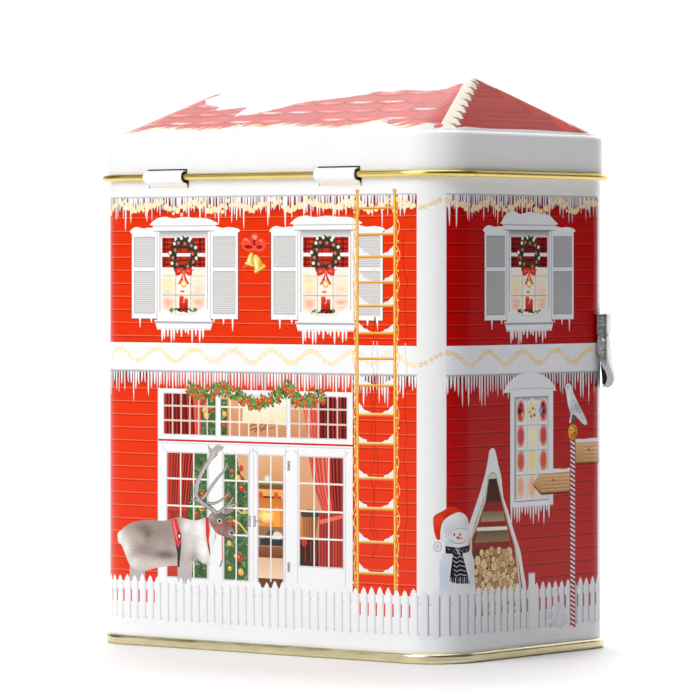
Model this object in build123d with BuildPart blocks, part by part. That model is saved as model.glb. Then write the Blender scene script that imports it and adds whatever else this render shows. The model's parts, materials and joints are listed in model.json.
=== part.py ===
from build123d import *
import math
import os

# House-shaped cookie tin, millimetres, +Z up.
# X runs along the long walls, Y across them. The hinge wall is at -Y.
# The origin is the centre of the plane that the bottom seam stands on.

# ---- driving dimensions ----
LENGTH = 125.0  # outside of the wall, along X
DEPTH = 82.0  # outside of the wall, along Y
CORNER_R = 12.5  # outside radius of the upright corners
SHEET = 0.3  # tinplate thickness

SEAM_OUT = 1.0  # the bottom seam stands this far outside the wall
SEAM_IN = 1.1  # and reaches this far inside it
SEAM_H = 2.8
SEAM_SLOT = 0.7  # height at which the wall's lower edge sits in the seam
SEAM_ROUND = 0.9
PANEL_Z = 1.7  # underside of the recessed bottom panel
PLATEAU_INSET = 11.0  # stiffening plateau pressed into the bottom panel
PLATEAU_RISE = 0.8
PLATEAU_TAPER = 30.0

WALL_TOP = 137.5  # top of the wall's hem
HEM_R = 0.8  # the wall's top edge is rolled inwards
HEM_SLIT_AT = 245.0  # the roll's open side, angle from the inward direction
HEM_SLIT_SPAN = 40.0

CURL_Z = 132.0  # centre height of the lid's rolled edge, and the hinge axis
CURL_R = 0.95
CURL_SLIT_AT = 52.0
CURL_SLIT_SPAN = 24.0
LID_GAP = 0.3  # clearance between the wall and the lid's skirt
SHOULDER_Z = 143.6  # top of the lid's skirt
SHOULDER_R = 1.5
RIDGE_Z = 159.3
RIDGE_HALF = 42.0  # half the length of the roof ridge
RIDGE_R = 0.8
RIDGE_FLAT = 0.2  # width of the flat along the ridge
ROOF_SINK = 0.05  # the roof starts this far inside the skirt's top

TONGUE_W = 14.0  # width of a hinge tongue
TONGUE_PITCH = 61.4  # between the two tongues' middles
TONGUE_SHIFT = -3.1  # the sheet's cut and print sit this far off the middle of the wall
LOOP_R = 1.7  # mean radius of the tongue's loop round the lid's curl
LOOP_END = 35.0  # angle at which the loop's end lies, above the inward direction
TONGUE_SIDE_GAP = 0.35
WINDOW_MARGIN = 1.6  # the opening behind a tongue reaches this far above its loop
SLOT_LOW = 0.95  # the lid's slot, above the hinge axis
SLOT_HIGH = 2.25

CLASP_ANGLE = 34.0  # direction of the clasp on its corner, from +X towards +Y
CLASP_HALF_W = 6.3
CLASP_TOP = 93.9
CLASP_BLOCK_LOW = 88.1
CLASP_RISE = 3.2  # crown of the casting above the corner
CLASP_CROWN_R = 18.0
CLASP_EDGE_R = 0.8
CLASP_SINK = 0.85  # the casting wraps the corner down to this depth, and is cut back by it
CLASP_OVERLAP = 0.5
PIN_Z = 86.5
PIN_RISE = 0.9  # pin axis above the corner
PIN_R = 0.6
PIN_PLAY = 0.05
PIN_HEAD = 0.25  # the pin stands out of the lever's ears by this much, with a round of the same size
KNUCKLE_HALF_W = 4.2  # middle knuckle of the casting, between the lever's ears
KNUCKLE_R = 1.5
EAR_R = 1.6
EAR_GAP = 0.25  # between an ear and the knuckle
EAR_CLEAR = 0.2  # the block is hollowed round the ears by this much
LEVER_CLEAR = 0.15  # lever above the corner
# the lever's outer face along its middle and along its edges, and its inner face,
# outwards and upwards from the pin's axis
LEVER_MIDDLE = ((2.3, 0), (2.3, -3.0), (2.6, -6.2), (3.1, -8.65), (3.35, -10.6), (2.9, -12.4), (1.2, -13.7))
LEVER_EDGE = ((1.16, 0), (1.2, -3.0), (1.6, -6.2), (2.4, -8.65), (2.95, -10.6), (2.6, -12.4), (1.1, -13.5))
LEVER_INNER = ((-0.2, -13.1), (0.85, -12.0), (1.15, -10.8), (0.6, -9.2), (-0.3, -7.4), (-1.1, -5.2), (-1.6, -2.6), (-1.6, 0))
LEVER_NOTCH_LOW = 2.0  # the notch round the knuckle, below and above the pin's axis
LEVER_NOTCH_HIGH = 2.2
WEB_HALF_W = 1.0  # rib in the hollow of the lever's tail
WEB = ((-0.45, -6.9), (1.0, -8.6), (1.9, -10.8), (1.2, -12.4), (-0.1, -12.7), (-0.4, -11.0))
RIVET_Z = 91.3
RIVET_R = 0.9
RIVET_SPREAD = 2.7
RIVET_HEAD_R = 1.6
RIVET_HEAD_H = 0.7
RIVET_SEAT = 0.65  # the head's face stays clear of the curved wall by this much at its middle
RIVET_GRIP = 1.4  # how far the shank reaches into the casting
CUT = 3.0  # how far a cutting solid runs past what it cuts

curl_out = LID_GAP + CURL_R  # centre of the curl, outside the wall
hinge_y = -DEPTH / 2 - curl_out
corner_x = LENGTH / 2 - CORNER_R
corner_y = DEPTH / 2 - CORNER_R


def outline(grow, z, height):
    """Upright prism on the tin's outline, grown outwards by grow."""
    with BuildPart(mode=Mode.PRIVATE) as prism:
        with BuildSketch(Plane.XY.offset(z)):
            RectangleRounded(LENGTH + 2 * grow, DEPTH + 2 * grow, CORNER_R + grow)
        extrude(amount=height)
    return prism.part


def roll(offset, z, radius, slit_at, slit_span):
    """Rolled sheet edge that follows the tin's outline, open along a slit."""
    half_l = LENGTH / 2 + offset
    half_d = DEPTH / 2 + offset
    r = CORNER_R + offset
    with BuildPart(mode=Mode.PRIVATE) as edge:
        with BuildLine(Plane.XY.offset(z)) as path:
            Line((0, -half_d), (half_l - r, -half_d))
            CenterArc((half_l - r, r - half_d), r, -90, 90)
            Line((half_l, r - half_d), (half_l, half_d - r))
            CenterArc((half_l - r, half_d - r), r, 0, 90)
            Line((half_l - r, half_d), (r - half_l, half_d))
            CenterArc((r - half_l, half_d - r), r, 90, 90)
            Line((-half_l, half_d - r), (-half_l, r - half_d))
            CenterArc((r - half_l, r - half_d), r, 180, 90)
            Line((r - half_l, -half_d), (0, -half_d))
        with BuildSketch(Plane(origin=(0, -half_d, z), x_dir=(0, 1, 0), z_dir=(1, 0, 0))):
            Circle(radius)
            Circle(radius - SHEET, mode=Mode.SUBTRACT)
            a0 = math.radians(slit_at - slit_span / 2)
            a1 = math.radians(slit_at + slit_span / 2)
            reach = 2 * radius
            with BuildLine():
                Polyline(
                    (0, 0),
                    (reach * math.cos(a0), reach * math.sin(a0)),
                    (reach * math.cos(a1), reach * math.sin(a1)),
                    close=True,
                )
            make_face(mode=Mode.SUBTRACT)
        sweep(path=path.wires()[0])
    return edge.part


def roof(inset, eave_z, ridge_z):
    """Solid hipped roof, inset from the lid's outer faces."""
    grow = LID_GAP + SHEET - SHOULDER_R - inset
    with BuildPart(mode=Mode.PRIVATE) as hips:
        with BuildSketch(Plane.XY.offset(eave_z)):
            RectangleRounded(LENGTH + 2 * grow, DEPTH + 2 * grow, CORNER_R + grow)
        with BuildSketch(Plane.XY.offset(ridge_z)):
            ridge_r = RIDGE_R - inset / 2
            RectangleRounded(2 * (RIDGE_HALF + ridge_r), 2 * ridge_r + RIDGE_FLAT, ridge_r)
        loft(ruled=True)
    return hips.part


def tongue(x):
    """Hinge tongue: leaves the wall, bends outwards and loops round the lid's curl."""
    wall_mid = curl_out + SHEET / 2
    bend_z = -LOOP_R - wall_mid
    section = Plane(origin=(x - TONGUE_W / 2, hinge_y, CURL_Z), x_dir=(0, 1, 0), z_dir=(1, 0, 0))
    with BuildPart(mode=Mode.PRIVATE) as strip:
        with BuildSketch(section):
            with BuildLine() as spine:
                Line((wall_mid, bend_z - 1), (wall_mid, bend_z))
                CenterArc((0, bend_z), wall_mid, 0, 90)
                CenterArc((0, 0), LOOP_R, -90, LOOP_END - 270)
            trace(lines=spine.edges(), line_width=SHEET)
        extrude(amount=TONGUE_W)
    return strip.part


# ---- body wall ----
tongue_xs = (TONGUE_SHIFT - TONGUE_PITCH / 2, TONGUE_SHIFT + TONGUE_PITCH / 2)
window_low = CURL_Z - LOOP_R - curl_out - SHEET / 2
window_high = CURL_Z + LOOP_R + WINDOW_MARGIN
clasp_dir = Vector(math.cos(math.radians(CLASP_ANGLE)), math.sin(math.radians(CLASP_ANGLE)), 0)
clasp_side = Vector(-clasp_dir.Y, clasp_dir.X, 0)
rivet_spots = [
    Vector(corner_x, corner_y, RIVET_Z) + clasp_side * side * RIVET_SPREAD for side in (-1, 1)
]

with BuildPart() as body_wall:
    add(outline(0, SEAM_SLOT, WALL_TOP - HEM_R - SEAM_SLOT))
    add(outline(-SHEET, SEAM_SLOT, WALL_TOP), mode=Mode.SUBTRACT)
    add(roll(-HEM_R, WALL_TOP - HEM_R, HEM_R, HEM_SLIT_AT, HEM_SLIT_SPAN))
    for x in tongue_xs:
        with BuildSketch(Plane.XZ.offset(DEPTH / 2 - SHEET - 1)):
            with Locations((x, (window_low + window_high) / 2)):
                Rectangle(TONGUE_W + 2 * TONGUE_SIDE_GAP, window_high - window_low)
        extrude(amount=CUT, mode=Mode.SUBTRACT)
    for x in tongue_xs:
        add(tongue(x))
    for spot in rivet_spots:
        with BuildSketch(Plane(origin=spot, z_dir=clasp_dir)):
            Circle(RIVET_R)
        extrude(amount=CORNER_R + CUT, mode=Mode.SUBTRACT)
body_wall.part.label = "body_wall"

# ---- bottom panel with its double seam ----
with BuildPart() as bottom_panel:
    add(outline(SEAM_OUT, 0, SEAM_H))
    fillet(bottom_panel.faces().sort_by(Axis.Z)[-1].edges(), SEAM_ROUND)
    fillet(bottom_panel.faces().sort_by(Axis.Z)[0].edges(), SEAM_ROUND)
    add(outline(-SEAM_IN, PANEL_Z + SHEET, SEAM_H), mode=Mode.SUBTRACT)
    add(outline(-SEAM_IN, -CUT, PANEL_Z + CUT), mode=Mode.SUBTRACT)
    add(outline(0, SEAM_SLOT, SEAM_H) - outline(-SHEET, SEAM_SLOT, SEAM_H), mode=Mode.SUBTRACT)
    with BuildSketch(Plane.XY.offset(PANEL_Z + SHEET)):
        RectangleRounded(LENGTH - 2 * PLATEAU_INSET, DEPTH - 2 * PLATEAU_INSET, CORNER_R)
    extrude(amount=PLATEAU_RISE, taper=PLATEAU_TAPER)
    with BuildSketch(Plane.XY.offset(PANEL_Z)):
        RectangleRounded(LENGTH - 2 * PLATEAU_INSET - SHEET, DEPTH - 2 * PLATEAU_INSET - SHEET, CORNER_R)
    extrude(amount=PLATEAU_RISE, taper=PLATEAU_TAPER, mode=Mode.SUBTRACT)
bottom_panel.part.label = "bottom_panel"

# ---- lid ----
skirt_h = SHOULDER_Z - CURL_Z
with BuildPart() as lid_inside:
    add(outline(LID_GAP, CURL_Z - CUT, skirt_h + CUT - SHEET))
    fillet(lid_inside.faces().sort_by(Axis.Z)[-1].edges(), SHOULDER_R - SHEET)
    add(roof(SHEET, SHOULDER_Z - SHEET - ROOF_SINK, RIDGE_Z - 1.5 * SHEET))

with BuildPart() as lid:
    add(outline(LID_GAP + SHEET, CURL_Z, skirt_h))
    fillet(lid.faces().sort_by(Axis.Z)[-1].edges(), SHOULDER_R)
    add(roof(0, SHOULDER_Z - ROOF_SINK, RIDGE_Z))
    add(lid_inside.part, mode=Mode.SUBTRACT)
    add(roll(curl_out, CURL_Z, CURL_R, CURL_SLIT_AT, CURL_SLIT_SPAN))
    for x in tongue_xs:
        with BuildSketch(Plane.XZ.offset(DEPTH / 2)):
            with Locations((x, CURL_Z + (SLOT_LOW + SLOT_HIGH) / 2)):
                Rectangle(TONGUE_W + 2 * TONGUE_SIDE_GAP, SLOT_HIGH - SLOT_LOW)
        extrude(amount=CUT, mode=Mode.SUBTRACT)
lid.part.label = "lid"

# ---- corner clasp ----
# plan: x outwards from the corner's axis, y along the clasp's width
# side: x outwards, y upwards, extruded across the width
clasp_plan = Plane(origin=(corner_x, corner_y, 0), x_dir=clasp_dir, z_dir=(0, 0, 1))
side_origin = Vector(corner_x, corner_y, 0) + clasp_side * CLASP_HALF_W
clasp_profile = Plane(origin=side_origin, x_dir=clasp_dir, z_dir=clasp_side * -1)
pin_n = CORNER_R + PIN_RISE
edge_n = CORNER_R - CLASP_SINK


def across(low, high, centre_n, centre_z, radius):
    """Round bar or bore across the clasp, between two places on its width."""
    start = Vector(corner_x, corner_y, centre_z) + clasp_dir * centre_n + clasp_side * low
    with BuildPart(mode=Mode.PRIVATE) as bar:
        with BuildSketch(Plane(origin=start, z_dir=clasp_side)):
            Circle(radius)
        extrude(amount=high - low)
    return bar.part


def slab(low, high, n0, n1, z0, z1):
    """Block in the clasp's own directions: across its width, outwards, upwards."""
    with BuildPart(mode=Mode.PRIVATE) as block:
        with BuildSketch(clasp_plan.offset(z0)):
            with Locations(((n0 + n1) / 2, (low + high) / 2)):
                Rectangle(n1 - n0, high - low)
        extrude(amount=z1 - z0)
    return block.part


def corner_cylinder(radius, z0, z1):
    with BuildPart(mode=Mode.PRIVATE) as cylinder:
        with BuildSketch(clasp_plan.offset(z0)):
            Circle(radius)
        extrude(amount=z1 - z0)
    return cylinder.part


def crowned(z0, z1):
    """Upright block on the corner, with an arched outer face."""
    with BuildPart(mode=Mode.PRIVATE) as block:
        with BuildSketch(clasp_plan.offset(z0)):
            with Locations((CORNER_R + CLASP_RISE - CLASP_CROWN_R, 0)):
                Circle(CLASP_CROWN_R)
            with Locations((edge_n + CORNER_R / 2, 0)):
                Rectangle(CORNER_R, 2 * CLASP_HALF_W, mode=Mode.INTERSECT)
        extrude(amount=z1 - z0)
    return block.part


block_foot = CLASP_BLOCK_LOW + CLASP_OVERLAP
bore_half = CLASP_HALF_W + CUT
with BuildPart() as clasp_base:
    # arched casting between the corner and its crown
    add(crowned(CLASP_BLOCK_LOW, CLASP_TOP))
    fillet(clasp_base.faces().sort_by(Axis.Z)[-1].edges(), CLASP_EDGE_R)
    add(across(-bore_half, bore_half, pin_n, PIN_Z, EAR_R + EAR_CLEAR), mode=Mode.SUBTRACT)
    # middle knuckle that holds the pin and seats on the corner
    front_n = pin_n + KNUCKLE_R
    add(slab(-KNUCKLE_HALF_W, KNUCKLE_HALF_W, edge_n, front_n, PIN_Z, block_foot))
    add(slab(-KNUCKLE_HALF_W, KNUCKLE_HALF_W, edge_n, pin_n, PIN_Z - KNUCKLE_R, PIN_Z))
    add(across(-KNUCKLE_HALF_W, KNUCKLE_HALF_W, pin_n, PIN_Z, KNUCKLE_R))
    add(corner_cylinder(CORNER_R, PIN_Z - CUT, CLASP_TOP + CUT), mode=Mode.SUBTRACT)
    add(across(-bore_half, bore_half, pin_n, PIN_Z, PIN_R + PIN_PLAY), mode=Mode.SUBTRACT)
    for spot in rivet_spots:
        with BuildSketch(Plane(origin=spot, z_dir=clasp_dir)):
            Circle(RIVET_R)
        extrude(amount=CORNER_R + RIVET_GRIP, mode=Mode.SUBTRACT)
clasp_base.part.label = "clasp_base"

def from_pin(points):
    return [(pin_n + out, PIN_Z + up) for out, up in points]


notch_half = KNUCKLE_HALF_W + EAR_GAP
lever_low = PIN_Z - CORNER_R - CUT
inner = from_pin(LEVER_INNER)
with BuildPart() as clasp_lever:
    # S-shaped finger lever, fuller along its middle than along its edges
    for across_at, contour in ((0, LEVER_EDGE), (CLASP_HALF_W, LEVER_MIDDLE), (2 * CLASP_HALF_W, LEVER_EDGE)):
        outer = from_pin(contour)
        with BuildSketch(clasp_profile.offset(across_at)):
            with BuildLine():
                Spline(*outer)
                Line(outer[-1], inner[0])
                Spline(*inner)
                Line(inner[-1], outer[0])
            make_face()
    loft()
    with BuildSketch(clasp_profile.offset(CLASP_HALF_W - WEB_HALF_W)):
        with BuildLine():
            Spline(*from_pin(WEB), periodic=True)
        make_face()
    extrude(amount=2 * WEB_HALF_W)
    add(
        across(-CLASP_HALF_W, CLASP_HALF_W, pin_n, PIN_Z, EAR_R)
        & crowned(PIN_Z - CUT, PIN_Z + CUT)
    )
    add(
        slab(-notch_half, notch_half, 0, pin_n + 2 * CUT, PIN_Z - LEVER_NOTCH_LOW, PIN_Z + LEVER_NOTCH_HIGH),
        mode=Mode.SUBTRACT,
    )
    add(corner_cylinder(CORNER_R + LEVER_CLEAR, lever_low, PIN_Z), mode=Mode.SUBTRACT)
    add(across(-bore_half, bore_half, pin_n, PIN_Z, PIN_R + PIN_PLAY), mode=Mode.SUBTRACT)
clasp_lever.part.label = "clasp_lever"

with BuildPart() as clasp_pin:
    add(across(-CLASP_HALF_W - PIN_HEAD, CLASP_HALF_W + PIN_HEAD, pin_n, PIN_Z, PIN_R))
    fillet(clasp_pin.edges().filter_by(GeomType.CIRCLE), PIN_HEAD)
clasp_pin.part.label = "clasp_pin"

with BuildPart() as clasp_rivets:
    head_n = math.sqrt((CORNER_R - SHEET) ** 2 - RIVET_SPREAD**2) - RIVET_SEAT - RIVET_HEAD_H
    for spot in rivet_spots:
        head_plane = Plane(origin=spot + clasp_dir * head_n, z_dir=clasp_dir)
        with BuildSketch(head_plane):
            Circle(RIVET_HEAD_R)
        extrude(amount=RIVET_HEAD_H)
        with BuildSketch(head_plane):
            Circle(RIVET_R)
        extrude(amount=CORNER_R + RIVET_GRIP - head_n)
clasp_rivets.part.label = "clasp_rivets"

os.makedirs("parts", exist_ok=True)
pieces = (body_wall, bottom_panel, lid, clasp_base, clasp_lever, clasp_pin, clasp_rivets)
for piece in pieces:
    export_step(piece.part, f"parts/{piece.part.label}.step")
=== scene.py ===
import json
import math
import random

import bpy
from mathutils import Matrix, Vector
from mathutils.geometry import delaunay_2d_cdt


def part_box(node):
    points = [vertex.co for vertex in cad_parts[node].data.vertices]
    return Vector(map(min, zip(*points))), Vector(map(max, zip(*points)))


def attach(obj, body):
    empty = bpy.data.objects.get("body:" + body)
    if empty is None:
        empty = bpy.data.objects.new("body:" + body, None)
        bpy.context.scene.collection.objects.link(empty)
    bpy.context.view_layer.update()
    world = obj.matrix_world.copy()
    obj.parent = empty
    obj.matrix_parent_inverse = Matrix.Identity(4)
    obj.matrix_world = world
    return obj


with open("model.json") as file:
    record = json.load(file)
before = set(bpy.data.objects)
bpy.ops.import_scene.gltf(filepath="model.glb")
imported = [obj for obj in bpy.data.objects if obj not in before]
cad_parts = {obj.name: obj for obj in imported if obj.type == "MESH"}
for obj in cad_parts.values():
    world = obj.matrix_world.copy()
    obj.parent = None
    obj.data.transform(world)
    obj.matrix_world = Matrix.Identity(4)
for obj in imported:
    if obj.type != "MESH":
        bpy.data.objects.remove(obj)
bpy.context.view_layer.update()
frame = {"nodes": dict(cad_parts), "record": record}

# ---------------------------------------------------------------- the tin's outline, in millimetres
MM = 0.001
_, wall_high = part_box("body_wall")
lid_low, lid_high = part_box("lid")
HALF_L = wall_high[0] / MM
HALF_D = wall_high[1] / MM
CORNER = 12.5
FLAT_L = 2 * (HALF_L - CORNER)
FLAT_D = 2 * (HALF_D - CORNER)
ARC = CORNER * math.pi / 2
GIRTH = 2 * (FLAT_L + FLAT_D) + 4 * ARC
HALF_GIRTH = GIRTH / 2
END_AT = FLAT_L / 2 + ARC + FLAT_D / 2  # from the middle of the hinge wall to the middle of the end wall
INK = 0.025  # the print's surface stands this far off the sheet

# heights on the wall, in millimetres
PRINT_LOW, PRINT_TOP = 3.4, 128.4
BOARDS_FOOT = 8.0
BOARD_PITCH = 3.68
BAND_LOW, BAND_TOP = 77.4, 85.7  # white band between the storeys
BAND_ICE_Z, EAVES_ICE_Z = 77.3, 126.3  # the rows of icicles hang from here
SHUTTER_LOW, SHUTTER_TOP = 92.3, 116.8  # of the upper windows
BULBS_Z, BULBS_SWING = 82.1, 1.7  # string of bulbs on the band
# how far the strings of bulbs run from one crest to the next, and where one crest is
LONG_WAVES = (13.9, -10.4)
END_WAVES = (15.9, -4.6)

rng = random.Random(11)  # for the streaks on the boards, drawn wall by wall


def wall_at(s):
    """Point of the wall's outside and its outward normal, s round from the hinge wall's middle."""
    s = (s + FLAT_L / 2) % GIRTH
    for quarter in range(4):
        a = quarter * math.pi / 2
        along = Vector((math.cos(a), math.sin(a)))
        out = Vector((math.sin(a), -math.cos(a)))
        flat, across = (FLAT_L, HALF_D) if quarter % 2 == 0 else (FLAT_D, HALF_L)
        if s <= flat:
            return out * across + along * (s - flat / 2), out
        s -= flat
        if s <= ARC:
            turn = s / CORNER
            direction = out * math.cos(turn) + along * math.sin(turn)
            return out * (across - CORNER) + along * flat / 2 + direction * CORNER, direction
        s -= ARC
    return wall_at(-FLAT_L / 2)


# ---------------------------------------------------------------- drawing flat areas of ink
def linear(c):
    """sRGB 0-255 to linear 0-1."""
    return tuple(v / 255 / 12.92 if v <= 10.3 else ((v / 255 + 0.055) / 1.055) ** 2.4 for v in c)


def fade(low, high, z0, z1):
    """Ink that changes evenly from low at z0 to high at z1."""

    def paint(u, z):
        t = min(max((z - z0) / (z1 - z0), 0), 1)
        return tuple(a + (b - a) * t for a, b in zip(low, high))

    return paint


def fade_u(left, right, u0, u1):
    """Ink that changes evenly from left at u0 to right at u1."""
    def paint(u, z):
        t = min(max((u - u0) / (u1 - u0), 0), 1)
        return tuple(a + (b - a) * t for a, b in zip(left, right))

    return paint


def soft(base, *spots):
    """Ink with soft patches: each patch is its middle, its reach both ways, its colour and its strength."""

    def paint(u, z):
        c = base(u, z) if callable(base) else base
        for a, b, ru, rz, patch, strength in spots:
            k = strength * math.exp(-(((u - a) / ru) ** 2) - ((z - b) / rz) ** 2)
            c = tuple(v + (w - v) * k for v, w in zip(c, patch))
        return c

    return paint


def tint(c, k):
    """The colour made lighter (k above 1) or darker."""
    return tuple(min(v * k, 250) for v in c)


def spline(points, closed=False, steps=4):
    """Smooth line through the points."""
    n = len(points)
    out = []
    for i in range(n if closed else n - 1):
        p0, p1, p2, p3 = (
            points[(i + k) % n] if closed else points[min(max(i + k, 0), n - 1)] for k in (-1, 0, 1, 2)
        )
        for j in range(steps):
            t = j / steps
            out.append(tuple(0.5 * (
                2 * b + (c - a) * t + (2 * a - 5 * b + 4 * c - d) * t * t + (3 * b - a - 3 * c + d) * t**3
            ) for a, b, c, d in zip(p0, p1, p2, p3)))
    if not closed:
        out.append(tuple(points[-1]))
    return out


class Ink:
    """Flat areas drawn over each other. The last one drawn shows."""

    def __init__(self, outline, paint, guides=()):
        self.points, self.areas, self.paints, self.edges = [], [], [], []
        self.area(outline, paint)
        for line in guides:
            first = len(self.points)
            self.points += [Vector(p) for p in line]
            self.edges += [(first + i, first + i + 1) for i in range(len(line) - 1)]

    def area(self, outline, paint):
        """Closed outline filled with ink: a colour, or a function of the place that gives one."""
        twice = sum(a[0] * b[1] - b[0] * a[1] for a, b in zip(outline, outline[1:] + outline[:1]))
        if abs(twice) < 1e-4:
            return
        if twice < 0:
            outline = outline[::-1]
        first = len(self.points)
        self.points += [Vector(p[:2]) for p in outline]
        self.areas.append(list(range(first, len(self.points))))
        self.paints.append(paint)

    def mesh_points(self, u0, z0, u1, z1, step):
        """Extra points, so that soft ink changes smoothly."""
        for i in range(int((u1 - u0) / step) + 1):
            for j in range(int((z1 - z0) / step) + 1):
                self.points.append(Vector((u0 + (i + 0.5 * (j % 2)) * step, z0 + j * step)))

    def box(self, u0, z0, u1, z1, paint):
        """Upright rectangle."""
        self.area([(u0, z0), (u1, z0), (u1, z1), (u0, z1)], paint)

    def disc(self, u, z, ru, rz, paint, n=12, turn=0.0):
        """Ellipse with n corners, turned about its middle."""
        ring = [(math.cos(2 * math.pi * i / n), math.sin(2 * math.pi * i / n)) for i in range(n)]
        c, s = math.cos(turn), math.sin(turn)
        self.area([(u + a * ru * c - b * rz * s, z + a * ru * s + b * rz * c) for a, b in ring], paint)

    def blob(self, points, paint, steps=4):
        """Smooth closed outline through the points."""
        self.area(spline(points, True, steps), paint)

    def line(self, points, width, paint, taper=1.0):
        """Line of ink; its width changes by taper towards its end."""
        n = len(points) - 1
        for i in range(n):
            (u0, z0), (u1, z1) = points[i][:2], points[i + 1][:2]
            run = math.hypot(u1 - u0, z1 - z0)
            if run < 1e-6:
                continue
            du, dz = (u1 - u0) / run, (z1 - z0) / run
            w0 = width * (1 + (taper - 1) * i / n) / 2
            w1 = width * (1 + (taper - 1) * (i + 1) / n) / 2
            u0, z0, u1, z1 = (
                u0 - du * w0 * 0.3, z0 - dz * w0 * 0.3, u1 + du * w1 * 0.3, z1 + dz * w1 * 0.3,
            )
            self.area([
                (u0 + dz * w0, z0 - du * w0), (u1 + dz * w1, z1 - du * w1), (u1 - dz * w1, z1 + du * w1),
                (u0 - dz * w0, z0 + du * w0),
            ], paint)

    def curve(self, points, width, paint, taper=1.0, steps=4):
        """Line of ink along a smooth path."""
        self.line(spline(points, False, steps), width, paint, taper)

    def star(self, u, z, r, paint):
        """Star with five points, one of them up."""
        pts = []
        for i in range(10):
            a = math.pi / 2 + math.pi * i / 5
            k = r if i % 2 == 0 else r * 0.42
            pts.append((u + k * math.cos(a), z + k * math.sin(a)))
        self.area(pts, paint)

    def mesh(self, name, place):
        """One sheet of faces, each with the ink that shows there. place gives a point and its normal."""
        points, _, faces, _, _, within = delaunay_2d_cdt(self.points, self.edges, self.areas, 1, 1e-4, True)
        reach = [(min(u), min(z), max(u), max(z)) for u, z in (
            [[self.points[i][k] for i in area] for k in (0, 1)] for area in self.areas
        )]

        def shown(face, areas):
            u, z = (sum(points[i][k] for i in face) / len(face) for k in (0, 1))
            return max(
                w for w in areas if reach[w][0] <= u <= reach[w][2] and reach[w][1] <= z <= reach[w][3]
            )

        kept = [(f, shown(f, w)) for f, w in zip(faces, within) if w and 0 in w]
        used = sorted({i for f, _ in kept for i in f})
        where = {v: i for i, v in enumerate(used)}
        placed = [place(*points[i]) for i in used]
        me = bpy.data.meshes.new(name)
        me.from_pydata([Vector(p) * MM for p, _ in placed], [], [[where[i] for i in f] for f, _ in kept])
        colours = me.color_attributes.new("ink", "FLOAT_COLOR", "CORNER")
        values = []
        for f, w in kept:
            paint = self.paints[w]
            for i in f:
                c = paint(*points[i]) if callable(paint) else paint
                values += [*linear(c), 1.0]
        colours.data.foreach_set("color", values)
        me.polygons.foreach_set("use_smooth", [True] * len(me.polygons))
        me.normals_split_custom_set_from_vertices([n for _, n in placed])
        me.validate()
        ob = bpy.data.objects.new(name, me)
        bpy.context.scene.collection.objects.link(ob)
        return ob


# ---------------------------------------------------------------- inks
WHITE = (244, 244, 245)
SNOW = (236, 237, 240)
SHADE = (214, 214, 217)
DIM = (186, 185, 187)
WARM = {
    "board": (231, 52, 12), "groove": (190, 38, 12), "edge": (240, 100, 62), "gap": (128, 36, 28),
    "bulb": (250, 238, 188), "halo": (247, 226, 180), "tartan": (196, 48, 26), "tartan_dark": (92, 22, 16),
    "louvre": (213, 211, 209), "white": WHITE, "shade": SHADE, "slit": (206, 207, 212),
}
# inks of the end walls: darker, bluer copies of the long walls' inks, painted shade for the end walls
SHADED_END_TONES = {
    "board": (182, 0, 2), "groove": (132, 0, 2), "edge": (204, 34, 26), "gap": (110, 8, 10),
    "bulb": (250, 226, 172), "halo": (236, 200, 160), "tartan": (150, 10, 14), "tartan_dark": (50, 4, 8),
    "louvre": (180, 178, 182), "white": (234, 235, 240), "shade": (206, 207, 214), "slit": (158, 158, 170),
}
GOLD = (240, 178, 62)
LEAVES = ((52, 82, 40), (78, 112, 52), (104, 138, 66), (136, 160, 84))
BERRY = (226, 88, 44)
WOOD = ((214, 176, 124), (198, 156, 104), (226, 192, 144), (176, 134, 88))


def siding(p, u0, u1, z0, z1, tone, first, board=None):
    """Horizontal boards with a groove and a lit edge under each."""
    p.box(u0, z0, u1, z1, board or tone["board"])
    z = first
    while z < z1 - 0.5:
        p.box(u0, z, u1, z + 0.32, tone["groove"])
        p.box(u0, z + 0.32, u1, z + 0.62, tone["edge"])
        for _ in range(5):
            a = rng.uniform(u0, u1 - 6)
            h = z + rng.uniform(1.0, 3.2)
            streak = tint(board(0, h) if board else tone["board"], rng.uniform(0.93, 1.05))
            if h < z1 - 0.2:
                p.box(a, h, a + rng.uniform(3, min(16, u1 - a)), h + 0.22, streak)
        z += BOARD_PITCH


def icicles(p, u0, u1, top, tone, low, high, pitch, gap, seed):
    """Row of icicles. low and high are their lengths, gap the height of the dark strip behind them."""
    own = random.Random(seed)
    if gap:
        p.box(u0, top - gap, u1, top, fade(tone["board"], tone["gap"], top - gap, top - 0.6))
    u = u0 + 0.3
    while u < u1 - 0.3:
        run = own.uniform(low, high) if own.random() < 0.75 else own.uniform(high, high * 1.5)
        w = own.uniform(0.25, 0.4)
        lean = own.uniform(-0.12, 0.12)
        p.area([
            (u - w, top + 0.05), (u - w * 0.85, top - run * 0.45), (u - w * 0.45 + lean, top - run * 0.85),
            (u + lean, top - run), (u + w * 0.45 + lean, top - run * 0.85),
            (u + w * 0.85, top - run * 0.45), (u + w, top + 0.05),
        ], tone["white"] if own.random() < 0.75 else tone["shade"])
        u += pitch * own.uniform(0.8, 1.2)


def lights(p, u0, u1, z, swing, period, phase, r, tone, spread, seed):
    """Hanging string of soft bulbs, in waves."""
    own = random.Random(seed)
    u = u0 + 0.5
    while u < u1 - 0.5:
        h = z + swing * math.cos(2 * math.pi * (u - phase) / period) + own.uniform(-spread, spread)
        size = r * own.uniform(0.8, 1.15)
        p.disc(u, h, size * 1.3, size * 1.3, tone["halo"], 9)
        p.disc(u, h, size * 0.8, size * 0.8, tone["bulb"], 8)
        u += own.uniform(1.1, 1.6)


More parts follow.
